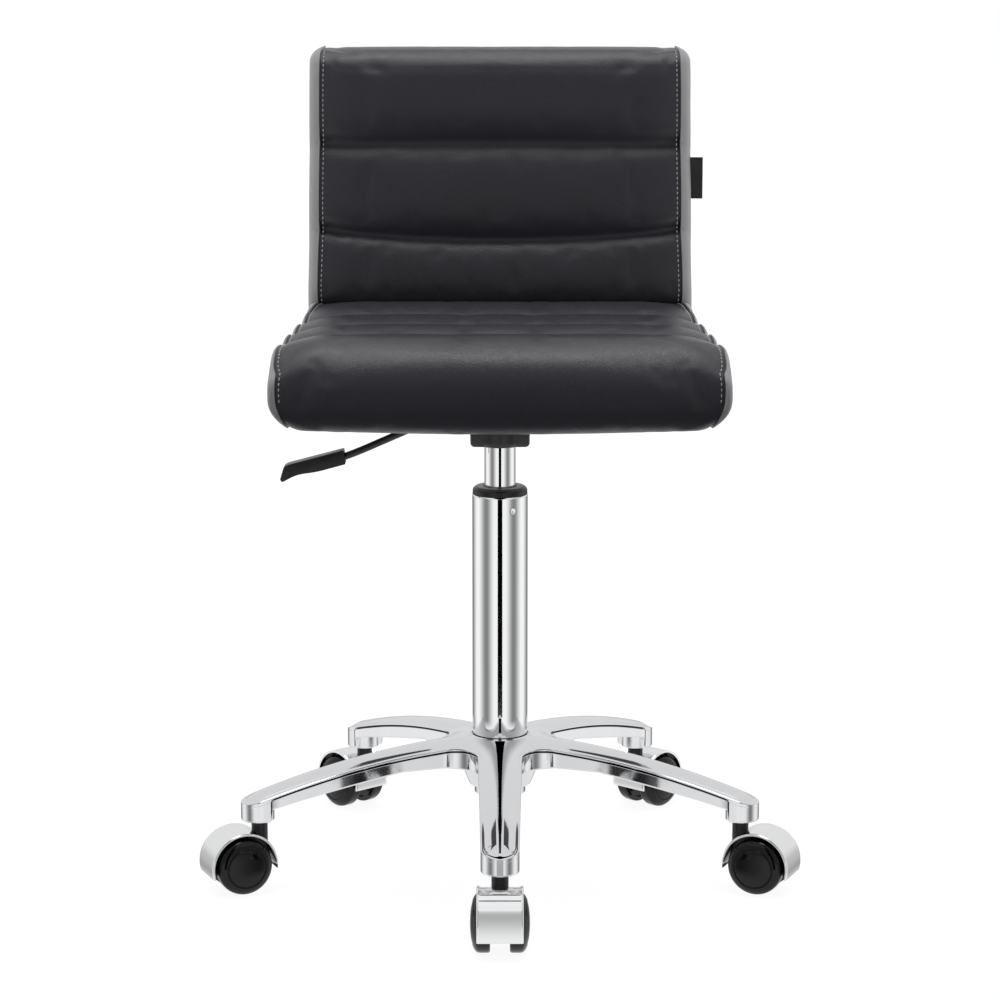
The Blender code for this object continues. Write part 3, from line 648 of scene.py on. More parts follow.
def star_mesh():
    outline, spines = half_leg_lines()
    inward = inward_normals(outline)
    half = [leg_section(o, s, n) for o, s, n in zip(outline, spines, inward)]
    side = grid_mesh([section for section, _ in half])
    store_painted_shade(side, [value for _, values in half for value in values])
    other = side.copy()
    moved(other, Matrix.Diagonal((1.0, -1.0, 1.0, 1.0)))
    leg = merged([side, other])
    legs = []
    for angle in LEG_ANGLES:
        legs.append(moved(leg.copy(), Matrix.Rotation(angle, 4, "Z")))
    boss = softened([(0.0, 0.0618), (0.0135, 0.0618, 0.0012), (0.0135, 0.078), (0.0, 0.078)], 0.0)
    for angle in LEG_ANGLES:
        turn = Matrix.Rotation(angle, 4, "Z") @ Matrix.Translation((STEM_RADIUS, 0.0, 0.0))
        legs.append(moved(turned(boss, 48), turn))
    hub = softened(
        [
            (0.0238, 0.100),
            (0.0238, 0.0765),
            (0.0280, 0.0765, 0.001),
            (0.036, 0.0965, 0.004),
            (0.050, 0.099),
            (0.050, 0.106),
        ],
        0.0006,
    )
    legs.append(turned(hub, 96))
    crown_z = crown(HUB_RADIUS) + CAMBER_RISE
    bead = softened(
        [
            (0.0257, crown_z - 0.004),
            (0.0257, crown_z + 0.0006),
            (0.0265, crown_z + 0.0008, 0.0004),
            (0.0288, crown_z - 0.0014, 0.0015),
            (0.0288, crown_z - 0.004),
        ],
        0.0,
    )
    legs.append(turned(bead, 128))
    mesh = cleaned(merged(legs), 2e-6)
    # Painted shade on the ring round the column's foot, where the bead meets the hub.
    painted_shade_ring = [v.index for v in mesh.vertices if v.co.xy.length < 0.0259 and v.co.z > crown_z - 0.006]
    for index in painted_shade_ring:
        mesh.attributes[PAINTED_SHADE].data[index].value = 1.0
    return moved(smooth_mesh(mesh, 42), Matrix.Translation(COLUMN))


def make_star_base():
    piece("star_base_cast", star_mesh(), "polished_aluminium", "base", "star_base")


# ---------------------------------------------------------------- column and gas lift


DENT_BEARING = -62


def dimpled(mesh, centre, reach, depth):
    """Press a small round dent into a mesh."""
    for vertex in mesh.vertices:
        away = (vertex.co - centre).length
        if away < reach:
            push = Vector((centre.x, centre.y, 0.0)).normalized()
            vertex.co -= push * depth * (1 - (away / reach) ** 2) ** 2
    return mesh


def make_column():
    radius = (TUBE_HIGH.x - TUBE_LOW.x) / 2
    top = TUBE_HIGH.z
    shoulder = CROWN_Z + 0.0003
    outer = [(radius, top - 0.0008)]
    outer += [(radius, top - 0.0015 - 0.0008 * k) for k in range(30)]
    outer += [(radius, top - 0.040 - 0.02 * k) for k in range(1, 9)]
    low = TUBE_LOW.z
    tube = [(radius - 0.0018, top - 0.004), (radius - 0.0018, top - 0.0004)]
    tube += [(radius - 0.0014, top), (radius - 0.0006, top)]
    tube += outer + [(radius, shoulder + 0.0012), (radius - 0.0004, shoulder + 0.0004)]
    tube += [(radius - 0.0012, shoulder), (0.0235, shoulder), (0.0232, shoulder - 0.002)]
    tube += [(0.0232, low + 0.001), (0.0222, low), (0.0060, low), (0.0060, low + 0.003)]
    tube += [(0.0212, low + 0.003), (0.0212, top - 0.1)]
    mesh = turned(tube, 180, closed=True)
    bearing = math.radians(DENT_BEARING)
    dent = Vector((radius * math.cos(bearing), radius * math.sin(bearing), top - 0.0125))
    dimpled(mesh, dent, 0.0030, 0.0009)
    smooth_mesh(mesh, 38)
    moved(mesh, Matrix.Translation(COLUMN))
    piece("column_outer_tube", mesh, "chrome", "base", "column_tube")

    bore = 0.0145
    low, high = BUSH_LOW.z, BUSH_HIGH.z
    rim = (BUSH_HIGH.x - BUSH_LOW.x) / 2
    bushing = [
        (bore, low),
        (bore, high - 0.0012, 0.0006),
        (bore + 0.0012, high, 0.0004),
        (rim - 0.0030, high, 0.0006),
        (rim - 0.0004, high - 0.0022, 0.0008),
        (rim - 0.0001, top + 0.0004, 0.0003),
        (rim - 0.0018, top + 0.0003, 0.0002),
        (rim - 0.0018, low),
    ]
    mesh = smooth_mesh(turned(softened(bushing, 0.0003, closed=True), 128, closed=True), 40)
    piece("guide_collar", moved(mesh, Matrix.Translation(COLUMN)), "black_plastic", "base", "guide_bushing")


def make_gas_cylinder():
    low, high = CYLINDER_LOW.z, CYLINDER_HIGH.z
    radius = (CYLINDER_HIGH.x - CYLINDER_LOW.x) / 2
    cylinder = [
        (0.0, high - 0.012),
        (0.0034, high - 0.012, 0.0004),
        (0.0034, high, 0.0004),
        (radius - 0.001, high, 0.0006),
        (radius, high - 0.0035, 0.0006),
        (radius, low + 0.001, 0.0006),
        (radius - 0.001, low, 0.0004),
        (0.0050, low),
        (0.0050, low + 0.008),
        (0.0118, low + 0.008),
        (0.0118, high - 0.034),
        (0.0, high - 0.034),
    ]
    mesh = smooth_mesh(turned(softened(cylinder, 0.0002), 128), 40)
    piece("gas_cylinder_chromed", moved(mesh, Matrix.Translation(COLUMN)), "chrome", "seat", "gas_cylinder")


# ---------------------------------------------------------------- casters

WHEEL_RADIUS = 0.025
TRAIL = 0.020
HOOD_RADIUS = 0.0305
HOOD_THICKNESS = 0.0022
HOOD_HALF = 0.0195
HOOD_LOW_Z = 0.0165
HOOD_INNER_Z = 0.0210
CREASE = 66.0
PANEL_END = 156.0


def axle_turned(profile, steps):
    """A turned mesh whose axis lies along Y through the axle."""
    return moved(turned(profile, steps), Matrix.Rotation(math.radians(-90), 4, "X"))


def wheel_mesh():
    """Twin wheel: a glossy domed cap inside a raised ring, a flat tread and a ribbed inner side."""
    profile = [
        (0.0, 0.0250),
        (0.0060, 0.0249, 0.004),
        (0.0120, 0.0243, 0.004),
        (0.0166, 0.0233, 0.0012),
        (0.0171, 0.0224, 0.0002),
        (0.0177, 0.0224, 0.0002),
        (0.0181, 0.0231, 0.0004),
        (0.0203, 0.0224, 0.0012),
        (0.0228, 0.0210, 0.0016),
        (0.0246, 0.0190, 0.0014),
        (0.02500, 0.0168, 0.0010),
        (0.02500, 0.0120),
        (0.02495, 0.0094, 0.0008),
        (0.0240, 0.0082, 0.0006),
        (0.0205, 0.0082, 0.0004),
        (0.0198, 0.0098, 0.0004),
        (0.0100, 0.0098, 0.0004),
        (0.0092, 0.0081, 0.0004),
        (0.0034, 0.0081),
        (0.0034, 0.0222),
        (0.0, 0.0222),
    ]
    return smooth_mesh(axle_turned(softened(profile, 0.0003), 112), 38)


def hood_radius_at(angle, across):
    """Outer radius of the hood: a shallow pressed panel lies between its rims, round the stem."""
    rims = 1 - ease(abs(across), HOOD_HALF - 0.0034, HOOD_HALF - 0.0016)
    start = ease(angle, CREASE, CREASE + 5.0)
    end = 1 - ease(angle, PANEL_END - 6.0, PANEL_END)
    return HOOD_RADIUS - 0.0011 * rims * start * end


def hood_mesh():
    """Arched hood over both wheels, with rounded rims and a hole for the stem's collar."""
    low = -math.degrees(math.asin((WHEEL_RADIUS - HOOD_LOW_Z) / HOOD_RADIUS))
    high = 180 + math.degrees(math.asin((WHEEL_RADIUS - HOOD_INNER_Z) / HOOD_RADIUS))
    angles = [low + (high - low) * k / 96 for k in range(97)]
    angles = sorted(angles + [CREASE + k for k in range(6)] + [PANEL_END - k for k in range(6)])
    rows = []
    for angle in angles:
        turn = math.radians(angle)
        taper = 1 - 0.72 * ease(angle, high - 26.0, high)
        thin = HOOD_THICKNESS * taper
        row = []
        half = HOOD_HALF - 0.0013
        across = [half * k / 15 for k in range(-15, 16)]
        for y in across:
            row.append((hood_radius_at(angle, y), y))
        row += [(HOOD_RADIUS - 0.00015, HOOD_HALF - 0.0007)]
        row += [(HOOD_RADIUS - 0.0004, HOOD_HALF - 0.0003), (HOOD_RADIUS - 0.0009, HOOD_HALF)]
        row += [(HOOD_RADIUS - thin + 0.0003, HOOD_HALF), (HOOD_RADIUS - thin, HOOD_HALF - 0.0003)]
        row += [(HOOD_RADIUS - thin, HOOD_HALF * k) for k in (0.6, 0.2, -0.2, -0.6)]
        row += [(HOOD_RADIUS - thin, 0.0003 - HOOD_HALF), (HOOD_RADIUS - thin + 0.0003, -HOOD_HALF)]
        row += [(HOOD_RADIUS - 0.0009, -HOOD_HALF), (HOOD_RADIUS - 0.0004, 0.0003 - HOOD_HALF)]
        row += [(HOOD_RADIUS - 0.00015, 0.0007 - HOOD_HALF)]
        rows.append([(r * math.cos(turn), y, r * math.sin(turn)) for r, y in row])
    shell = grid_mesh(rows, loop_columns=True)
    facing_out(shell, fill=True)
    cutter_mesh = turned([(0.0, 0.0), (0.0078, 0.0), (0.0078, 0.05), (0.0, 0.05)], 48)
    moved(cutter_mesh, Matrix.Translation((-TRAIL, 0.0, 0.0)))
    cutter = linked("collar_hole", cutter_mesh)
    shell = modified(shell, ("BOOLEAN", {"operation": "DIFFERENCE", "solver": "EXACT", "object": cutter}))
    bpy.data.objects.remove(cutter, do_unlink=True)
    return smooth_mesh(shell, 30)


def body_mesh():
    """Centre web with the stem's collar, which has a chamfered top."""
    radius = HOOD_RADIUS - HOOD_THICKNESS - 0.0004
    floor = HOOD_INNER_Z - WHEEL_RADIUS
    low = math.degrees(math.asin((HOOD_LOW_Z - WHEEL_RADIUS) / radius))
    outline = arc((0.0, 0.0), radius, low, 180 - math.degrees(math.asin(floor / radius)), 40)
    outline += [(-0.012, floor), (-0.006, -0.0110), (0.006, -0.0120)]
    web = slab(outline, 0.0074, 0.0008)
    rim = [(0.0072, 0.0353, 0.0006), (0.0062, 0.0364, 0.0003)]
    collar = softened([(0.0, 0.010), (0.0072, 0.010)] + rim + [(0.0, 0.0364)], 0.0)
    ring = moved(turned(collar, 64), Matrix.Translation((-TRAIL, 0.0, 0.0)))
    return smooth_mesh(merged([web, ring]), 38)


def make_casters():
    wheel = wheel_mesh()
    hood = hood_mesh()
    body = body_mesh()
    for number in NUMBERS:
        name = f"caster_{number}"
        joint = JOINTS[f"{name}_left_roll"]
        axis = Vector(joint["axis"])
        place = Matrix.Translation(joint["pos_m"])
        face = place @ Matrix.Rotation(math.atan2(axis.y, axis.x) - math.pi / 2, 4, "Z")
        flip = face @ Matrix.Rotation(math.pi, 4, "Z")
        piece(f"{name}_hood_chromed", moved(hood.copy(), face), "chrome", name, f"{name}_hood")
        piece(f"{name}_web_and_collar", moved(body.copy(), face), "black_plastic", name, f"{name}_body")
        left = moved(wheel.copy(), face)
        right = moved(wheel.copy(), flip)
        piece(f"{name}_tyre_left", left, "glossy_wheel", f"{name}_wheel_left", f"{name}_wheel_left")
        piece(f"{name}_tyre_right", right, "glossy_wheel", f"{name}_wheel_right", f"{name}_wheel_right")


# ---------------------------------------------------------------- mechanism and lever


def make_mechanism():
    low, high = HOUSING_LOW, HOUSING_HIGH
    front = COLUMN.y - 0.014
    section = [(low.x, high.z), (low.x + 0.0006, low.z), (high.x - 0.0006, low.z), (high.x, high.z)]
    block = slab(section, (high.y - front) / 2, 0.0038, 5)
    moved(block, Matrix.Translation((0.0, (high.y + front) / 2, 0.0)))
    socket = softened(
        [
            (0.0143, low.z + 0.004),
            (0.0143, low.z + 0.0006, 0.0004),
            (0.0150, low.z, 0.0004),
            (0.0182, low.z, 0.0012),
            (0.0200, low.z + 0.0028, 0.0016),
            (0.0200, high.z - 0.0015, 0.0008),
            (0.0190, high.z - 0.0005, 0.0004),
            (0.0, high.z - 0.0005),
        ],
        0.0,
    )
    boss = moved(turned(socket, 96), Matrix.Translation(COLUMN))
    mesh = smooth_mesh(merged([block, boss]), 38)
    piece("mechanism_casting", mesh, "black_painted_steel", "seat", "mechanism_housing")


def lever_line():
    """The lever's centre line in x and z: level over the release pin, then bent down to the paddle."""
    pivot = Vector(JOINTS["lever_lift"]["pos_m"])
    level = pivot.z
    marks = [(0.0045, level), (-0.026, level), (-0.034, level - 0.0005), (-0.046, level - 0.0027)]
    marks += [(-0.060, 0.4100), (-0.076, 0.4042), (-0.0893, 0.3983), (-0.1072, 0.3905)]
    marks += [(-0.1216, 0.3842), (-0.1341, 0.3792), (-0.1460, 0.3750)]
    line = []
    for i in range(len(marks) - 1):
        before = Vector(marks[max(0, i - 1)])
        start, end = Vector(marks[i]), Vector(marks[i + 1])
        after = Vector(marks[min(len(marks) - 1, i + 2)])
        for k in range(6):
            t = k / 6
            cubic = 2 * start + (end - before) * t
            cubic += (2 * before - 5 * start + 4 * end - after) * t**2
            cubic += (3 * start - before - 3 * end + after) * t**3
            line.append(cubic / 2)
    return line + [Vector(marks[-1])]


def make_lever():
    rod = tube_along([(p.x, COLUMN.y, p.y) for p in lever_line()], 0.00325, 20)
    piece("lever_bar", smooth_mesh(rod, 50), "black_painted_steel", "lever", "lever_rod")
    paddle = [
        (-0.1395, 0.3842, 0.0012),
        (-0.1378, 0.3716, 0.0012),
        (-0.1638, 0.3644, 0.012),
        (-0.1815, 0.3622, 0.014),
        (-0.1945, 0.3552, 0.0014),
        (-0.1966, 0.3574, 0.0014),
        (-0.1930, 0.3694, 0.0020),
        (-0.1890, 0.3712, 0.0016),
    ]
    outline = softened(paddle, 0.001, 5, closed=True)
    grip = slab(outline, 0.0085, 0.0019, 4)
    moved(grip, Matrix.Translation((0.0, COLUMN.y, 0.0)))
    ribs = []
    for k in range(5):
        x = -0.150 - 0.0068 * k
        height = 0.38115 - 0.00258 * k + 0.00005
        rib = tube_along([(x, COLUMN.y - 0.0058, height), (x, COLUMN.y + 0.0058, height)], 0.00045, 8)
        ribs.append(rib)
    piece("lever_paddle", smooth_mesh(merged([grip] + ribs), 38), "black_plastic", "lever", "lever_grip")


# ---------------------------------------------------------------- upholstery: outlines

SEAT_TOP_Z = 0.4965
BULGE = 0.0075
LOW_RADIUS = 0.022
TOP_RADIUS = 0.040
LEAN = math.radians(8)
BACK_TOP_Z = PAD_HIGH.z
PAD_FRONT = PAD_LOW.y - COLUMN.y
PAD_BOTTOM = COVER_LOW.z
BEND = 0.070
BEND_CENTRE = (0.1024, PAD_BOTTOM + BEND)
JUNCTION = Vector((0.115, 0.5005))
SEAT_CREASES = (-0.117, -0.044, 0.035)
BACK_CREASES = (0.5603, 0.6490)
FRONT_TURN = 0.020
REAR_TURN = 0.014
BACK_THICKNESS = 0.0565
COVER_END = COVER_HIGH.z
HALF_WIDTH = 0.1895
REAR_TAPER = 0.040
GUSSET_BULGE = 0.0095
CORNER = 0.021
TOP_CORNER = 0.012
BELLY = 0.0046
SIDE_DROOP = 0.0070
BACK_DROOP = 0.0035
DROOP_REACH = 0.0410
SEAM_BOW = 0.0045
TOP_BOW = 0.0060
SIDE_LIFT = 0.0115
SIDE_LIFT_AT = 0.18
SIDE_LIFT_REACH = 0.034


def half_width(y):
    return HALF_WIDTH - REAR_TAPER * (y - PAD_FRONT)


def seam_x(y):
    """Where the face meets the side panels."""
    return half_width(y) - GUSSET_BULGE


def up_the_back():
    return Vector((math.sin(LEAN), math.cos(LEAN)))


def out_of_the_back():
    return Vector((-math.cos(LEAN), math.sin(LEAN)))


def back_point(z, inset=0.0):
    along = (z - JUNCTION.y) / math.cos(LEAN)
    return JUNCTION + up_the_back() * along - out_of_the_back() * inset


def roll(start, end, normal, bulge, count=16, slump=1.0):
    """One channel, from just after its first sewn crease to the next crease; it may slump downwards."""
    points = []
    for k in range(1, count + 1):
        share = k / count
        lift = bulge * max(0.0, math.sin(math.pi * share**slump)) ** 0.62
        points.append(start.lerp(end, share) + normal * lift)
    return points


def face_line(bulge):
    """The face in side view, from under the front edge to behind the top, and its crease rows."""
    low, top = LOW_RADIUS, TOP_RADIUS
    peak = SEAT_TOP_Z + BULGE
    points = [Vector((PAD_FRONT + low + 0.008 - 0.004 * k, PAD_BOTTOM)) for k in range(2)]
    points += [Vector(p) for p in arc((PAD_FRONT + low, PAD_BOTTOM + low), low, 270, 180, 9)]
    points += [Vector((PAD_FRONT, PAD_BOTTOM + low + 0.006 * k)) for k in (1, 2)]
    points += [Vector(p) for p in arc((PAD_FRONT + top, peak - top), top, 180, 90, 16)]
    last = points[-1]
    crease = Vector((SEAT_CREASES[0], SEAT_TOP_Z))
    for k in range(1, 12):
        share = k / 11
        drop = 1 - (1 - share**2.4) ** 0.5 if share < 1 else 1.0
        points.append(Vector((last.x + (crease.x - last.x) * share, last.y - (last.y - crease.y) * drop)))
    creases = [len(points) - 1]
    marks = [Vector((y, SEAT_TOP_Z)) for y in SEAT_CREASES] + [JUNCTION]
    for start, end in zip(marks, marks[1:]):
        points += roll(start, end, Vector((0.0, 1.0)), bulge)
        creases.append(len(points) - 1)
    backs = [JUNCTION] + [back_point(z) for z in BACK_CREASES]
    for start, end in zip(backs, backs[1:]):
        points += roll(start, end, out_of_the_back(), bulge, 18, 0.80)
        creases.append(len(points) - 1)
    points += top_channel(backs[-1], bulge)
    return points, creases


def top_channel(start, bulge):
    """The last channel, over the top and a little way down the rear."""
    forward = out_of_the_back()
    front = back_point(BACK_TOP_Z - FRONT_TURN) + forward * BULGE
    points = []
    for k in range(1, 14):
        share = k / 14
        swell = math.sin(math.pi / 2 * min(1.0, share * 1.9)) ** 0.62
        lift = (bulge + 0.0012) * swell - BULGE * share
        points.append(start.lerp(front, share) + forward * lift)
    turn = back_point(BACK_TOP_Z - FRONT_TURN, FRONT_TURN - BULGE)
    points += [Vector(p) for p in arc(turn, FRONT_TURN, 172, 90, 9)]
    rear = back_point(BACK_TOP_Z - REAR_TURN, BACK_THICKNESS - REAR_TURN)
    rear.y = BACK_TOP_Z - REAR_TURN
    span = Vector((rear.x, BACK_TOP_Z)) - points[-1]
    points += [points[-1] + span * k / 5 for k in range(1, 5)]
    points += [Vector(p) for p in arc(rear, REAR_TURN, 90, -math.degrees(LEAN), 8)]
    drop = (points[-1].y - COVER_END - 0.0003) / math.cos(LEAN)
    return points + [points[-1] - up_the_back() * drop * k / 3 for k in (1, 2, 3)]


def rear_line():
    """The underside and rear in side view, from the front edge to under the top seam."""
    start = PAD_FRONT + 0.030
    points = []
    for k in range(26):
        share = k / 26
        points.append(Vector((start + (BEND_CENTRE[0] - start) * share, PAD_BOTTOM)))
    points += [Vector(p) for p in arc(BEND_CENTRE, BEND, 270, 360 - math.degrees(LEAN), 18)]
    rise = (COVER_END - points[-1].y) / math.cos(LEAN)
    return points + [points[-1] + up_the_back() * rise * k / 18 for k in range(1, 19)]


def seam_bow(y, z):
    """How far the side seams bow out, halfway up the seat's front and all along its top."""
    share = (z - PAD_BOTTOM) / (SEAT_TOP_Z + BULGE - PAD_BOTTOM)
    front = SEAM_BOW * math.sin(math.pi * min(1.0, max(0.0, share))) * (1 - ease(y, -0.165, -0.100))
    top = TOP_BOW * ease(z, SEAT_TOP_Z - 0.024, SEAT_TOP_Z - 0.002) * (1 - ease(y, 0.085, 0.120))
    return max(front, top)


def shaped(x, y, z):
    """Soft form of the whole pad: channels that fall away to their side seams, belly and round corners."""
    half = half_width(y)
    edge = max(0.0, (abs(x) - (half - GUSSET_BULGE - DROOP_REACH)) / DROOP_REACH) ** 2.2
    on_top = (1 - ease(y, 0.085, 0.115)) * ease(z, SEAT_TOP_Z - 0.030, SEAT_TOP_Z - 0.004)
    depth = (Vector((y, z)) - JUNCTION).dot(out_of_the_back())
    on_back = ease(z, JUNCTION.y + 0.010, JUNCTION.y + 0.040) * ease(depth, -0.015, -0.003)
    z -= SIDE_DROOP * edge * on_top
    y += BACK_DROOP * edge * on_back
    share = min(1.0, abs(x) / half)
    low = 1 - ease(z, PAD_BOTTOM, PAD_BOTTOM + 0.045)
    seat = 1 - ease(y, 0.06, 0.13)
    z += BELLY * share**2 * low * seat
    floor = PAD_BOTTOM + BELLY * share**2 * seat
    radius = CORNER * seat + 0.006
    x, z = cut_corner(x, z, half - radius, floor + radius, radius, -1)
    x, z = cut_corner(x, z, half - TOP_CORNER, BACK_TOP_Z - TOP_CORNER, TOP_CORNER, 1)
    return Vector((x, y + COLUMN.y, z))


def cut_corner(x, z, from_x, from_z, radius, way):
    """Carry a square corner of the cross-section onto a round one."""
    out = (abs(x) - from_x) / radius
    up = (z - from_z) * way / radius
    if min(out, up) <= 0 or max(out, up) > 1.4:
        return x, z
    new_out = out * math.sqrt(1 - up * up / 2)
    new_up = up * math.sqrt(1 - out * out / 2)
    return math.copysign(from_x + new_out * radius, x), from_z + way * new_up * radius


def side_lift(x, z):
    """How far the back's lowest crease has risen, this far out from the middle."""
    near = math.exp(-(((z - BACK_CREASES[0]) / SIDE_LIFT_REACH) ** 2))
    return SIDE_LIFT * (x / SIDE_LIFT_AT) ** 2 * near * ease(z, 0.515, 0.545)


def face_point(line_point, x):
    """A point of the face; the lower crease of the back hangs a little in the middle."""
    y, z = line_point
    return shaped(x, y, z + side_lift(x, z))


# ---------------------------------------------------------------- upholstery: cloth and covers

FACE_COLUMNS = 73
CLOTH_FRAMES = 20
CLOTH_CAP = 0.0026
CLOTH_PRESSURE = 3.0
CLOTH_SLACK = 0.006
FACE_WALL = 0.0028
PANEL_WALL = 0.0020
SEAT_CREASE_DEEPER = 0.0016
BACK_CREASE_DEEPER = 0.0052


def inflate(obj, pinned, pressure, slack):
    """Swell a pinned cover with air pressure, without gravity, and keep the result."""
    group = obj.vertex_groups.new(name="sewn")
    group.add(pinned, 1.0, "REPLACE")
    rest = [v.co.copy() for v in obj.data.vertices]
    cloth = obj.modifiers.new("cloth", "CLOTH")
    settings = cloth.settings
    settings.vertex_group_mass = "sewn"
    settings.pin_stiffness = 4.0
    settings.use_pressure = True
    settings.uniform_pressure_force = pressure
    settings.effector_weights.gravity = 0.0
    settings.quality = 6
    settings.shrink_min = -slack
    settings.tension_stiffness = 18.0
    settings.compression_stiffness = 12.0
    settings.bending_stiffness = 0.8
    cloth.collision_settings.use_collision = False
    cloth.point_cache.frame_start = 1
    cloth.point_cache.frame_end = CLOTH_FRAMES
    scene = bpy.context.scene
    for number in range(1, CLOTH_FRAMES + 1):
        scene.frame_set(number)
    swollen = evaluated(obj)
    for vertex, start in zip(swollen.vertices, rest):
        push = vertex.co - start
        vertex.co = start + push * CLOTH_CAP / (CLOTH_CAP + push.length)
    obj.modifiers.remove(cloth)
    obj.vertex_groups.remove(group)
    scene.frame_set(1)
    return swollen


def thickened(mesh, thickness):
    """One subdivision, then a wall of the cover's own thickness inwards."""
    soft = {"levels": 1, "render_levels": 1}
    wall = {"thickness": thickness, "offset": -1.0, "use_even_offset": False}
    return modified(mesh, ("SUBSURF", soft), ("SOLIDIFY", wall))


def deepened(line, creases):
    """Draw the sewn creases in below the level of the side seams."""
    result = [p.copy() for p in line]
    for i in creases:
        deeper = BACK_CREASE_DEEPER if line[i].y > JUNCTION.y + 0.01 else SEAT_CREASE_DEEPER
        run = (line[i + 1] - line[i - 1]).normalized()
        inwards = Vector((run.y, -run.x))
        for step, share in ((0, 1.0), (-1, 0.42), (1, 0.42), (-2, 0.12), (2, 0.12)):
            result[i + step] += inwards * deeper * share
    return result


def make_face():
    """The channelled face: one cover, sewn down along the creases and the sides, filled between them."""
    line, creases = face_line(BULGE)
    line = deepened(line, creases)
    rows = []
    for point in line:
        reach = seam_x(point.x) + seam_bow(*point) + 0.0004
        row = []
        for k in range(FACE_COLUMNS):
            share = 2 * k / (FACE_COLUMNS - 1) - 1
            row.append(face_point(point, reach * share))
        rows.append(row)
    mesh = grid_mesh(rows)
    facing_out(mesh)
    # The cover is open, so its faces may all have been turned inwards.
    on_top, in_front = mesh.polygons[len(mesh.polygons) // 8], mesh.polygons[FACE_COLUMNS * 20]
    if on_top.normal.z < 0 and in_front.normal.y > 0:
        mesh.flip_normals()
    obj = linked("face_cushion", mesh)
    held = []
    for r in range(len(rows)):
        edge_row = r in creases or r < 3 or r > len(rows) - 5
        for k in range(FACE_COLUMNS):
            if edge_row or k in (0, FACE_COLUMNS - 1):
                held.append(r * FACE_COLUMNS + k)
    mesh = inflate(obj, held, CLOTH_PRESSURE, CLOTH_SLACK)
    bpy.data.objects.remove(obj, do_unlink=True)
    mesh = thickened(mesh, FACE_WALL)
    cushion = piece("face_cushion", smooth_mesh(mesh, 60), "black_vinyl", "seat", "face_cover", "foam_core")


def gusset_lines():
    """Face side and rear side of a side panel, from the front of the seat round to the top."""
    face, _ = face_line(BULGE)
    front = 12
    top = len(face) - 13
    face_side = face[front : top + 1]
    rear_side = face[:front][::-1] + rear_line() + face[top + 1 :][::-1]
    return face_side, rear_side


def resampled(points, count):
    """The same line through evenly spaced points."""
    lengths = [0.0]
    for a, b in zip(points, points[1:]):
        lengths.append(lengths[-1] + (b - a).length)
    result = []
    segment = 0
    for k in range(count):
        goal = lengths[-1] * k / (count - 1)
        while segment < len(points) - 2 and lengths[segment + 1] < goal:
            segment += 1
        span = lengths[segment + 1] - lengths[segment]
        share = (goal - lengths[segment]) / span if span else 0.0
        result.append(points[segment].lerp(points[segment + 1], min(1.0, share)))
    return result


def matched_lines(count_seat=90, count_back=70):
    """Both sides of a side panel cut into as many pieces, so that the corner keeps facing the bend."""
    face_side, rear_side = gusset_lines()
    corner = min(range(len(face_side)), key=lambda i: (face_side[i] - JUNCTION).length)
    turn = math.radians(-46)
    middle = Vector(BEND_CENTRE) + BEND * Vector((math.cos(turn), math.sin(turn)))
    bend = min(range(len(rear_side)), key=lambda i: (rear_side[i] - middle).length)
    face = resampled(face_side[: corner + 1], count_seat) + resampled(face_side[corner:], count_back)[1:]
    rear = resampled(rear_side[: bend + 1], count_seat) + resampled(rear_side[bend:], count_back)[1:]
    return face, rear


def gusset_mesh(side):
    """Side panel of grey vinyl: it bulges out between its two seams."""
    face, rear = matched_lines()
    across = 22
    rows = []
    for index, (a, b) in enumerate(zip(face, rear)):
        row = []
        for k in range(across + 1):
            share = 0.5 - 0.5 * math.cos(math.pi * k / across)
            place = a.lerp(b, share)
            bow = seam_bow(*a) * (1 - share) + seam_bow(*b) * share
            out = (1 - abs(2 * share - 1) ** 3.2) ** (1 / 3.2) if 0 < k < across else 0.0
            ends = min(1.0, index / 8, (len(face) - 1 - index) / 8)
            bulge = bow + (GUSSET_BULGE - bow) * out * math.sqrt(1 - (1 - ends) ** 2)
            ripple = 0.0004 * noise.noise(Vector((place.x * 24, place.y * 24, side * 3.0))) * out
            x = side * (seam_x(place.x) + bulge + ripple)
            row.append(shaped(x, place.x, place.y + side_lift(x, place.y) * (1 - share)))
        rows.append(row)
    mesh = grid_mesh(rows)
    if side > 0:
        mesh.flip_normals()
    return mesh


def make_gussets():
    for side, name in ((-1, "left"), (1, "right")):
        mesh = thickened(gusset_mesh(side), PANEL_WALL)
        panel = piece(f"side_panel_{name}", smooth_mesh(mesh, 60), "grey_vinyl", "seat", f"gusset_{name}")


def make_rear_cover():
    """Plain cover of the underside and rear, stretched over the bent plywood."""
    line = rear_line()
    rows = []
    for point in line:
        reach = seam_x(point.x)
        row = []
        for k in range(49):
            x = reach * (2 * k / 48 - 1)
            wave = 0.0005 * noise.noise(Vector((x * 9, point.x * 14, point.y * 14)))
            place = shaped(x, point.x, point.y)
            row.append(place + Vector((0.0, wave, -abs(wave) * 0.3)))
        rows.append(row)
    mesh = grid_mesh(rows)
    mesh.flip_normals()
    mesh = thickened(mesh, PANEL_WALL)
    piece("under_and_rear_cover", smooth_mesh(mesh, 60), "black_vinyl", "seat", "rear_cover")


# ---------------------------------------------------------------- seams, stitches and the tag


WELT_RADIUS = 0.0016
STITCH_INSET = 0.0032
STITCH_PITCH = 0.0046
STITCH_LENGTH = 0.0029
THREAD_RADIUS = 0.00046


def seam_route(line, inset, lift, side):
    """A line on the cover beside a seam, lifted off it along the outline's own normal."""
    route = []
    for i, point in enumerate(line):
        before = line[max(0, i - 1)]
        after = line[min(len(line) - 1, i + 1)]
        run = (after - before).normalized()
        normal = Vector((-run.y, run.x))
        place = point + normal * lift
        x = side * (seam_x(point.x) + seam_bow(*point) - inset)
        route.append(face_point(place, x))
    return route


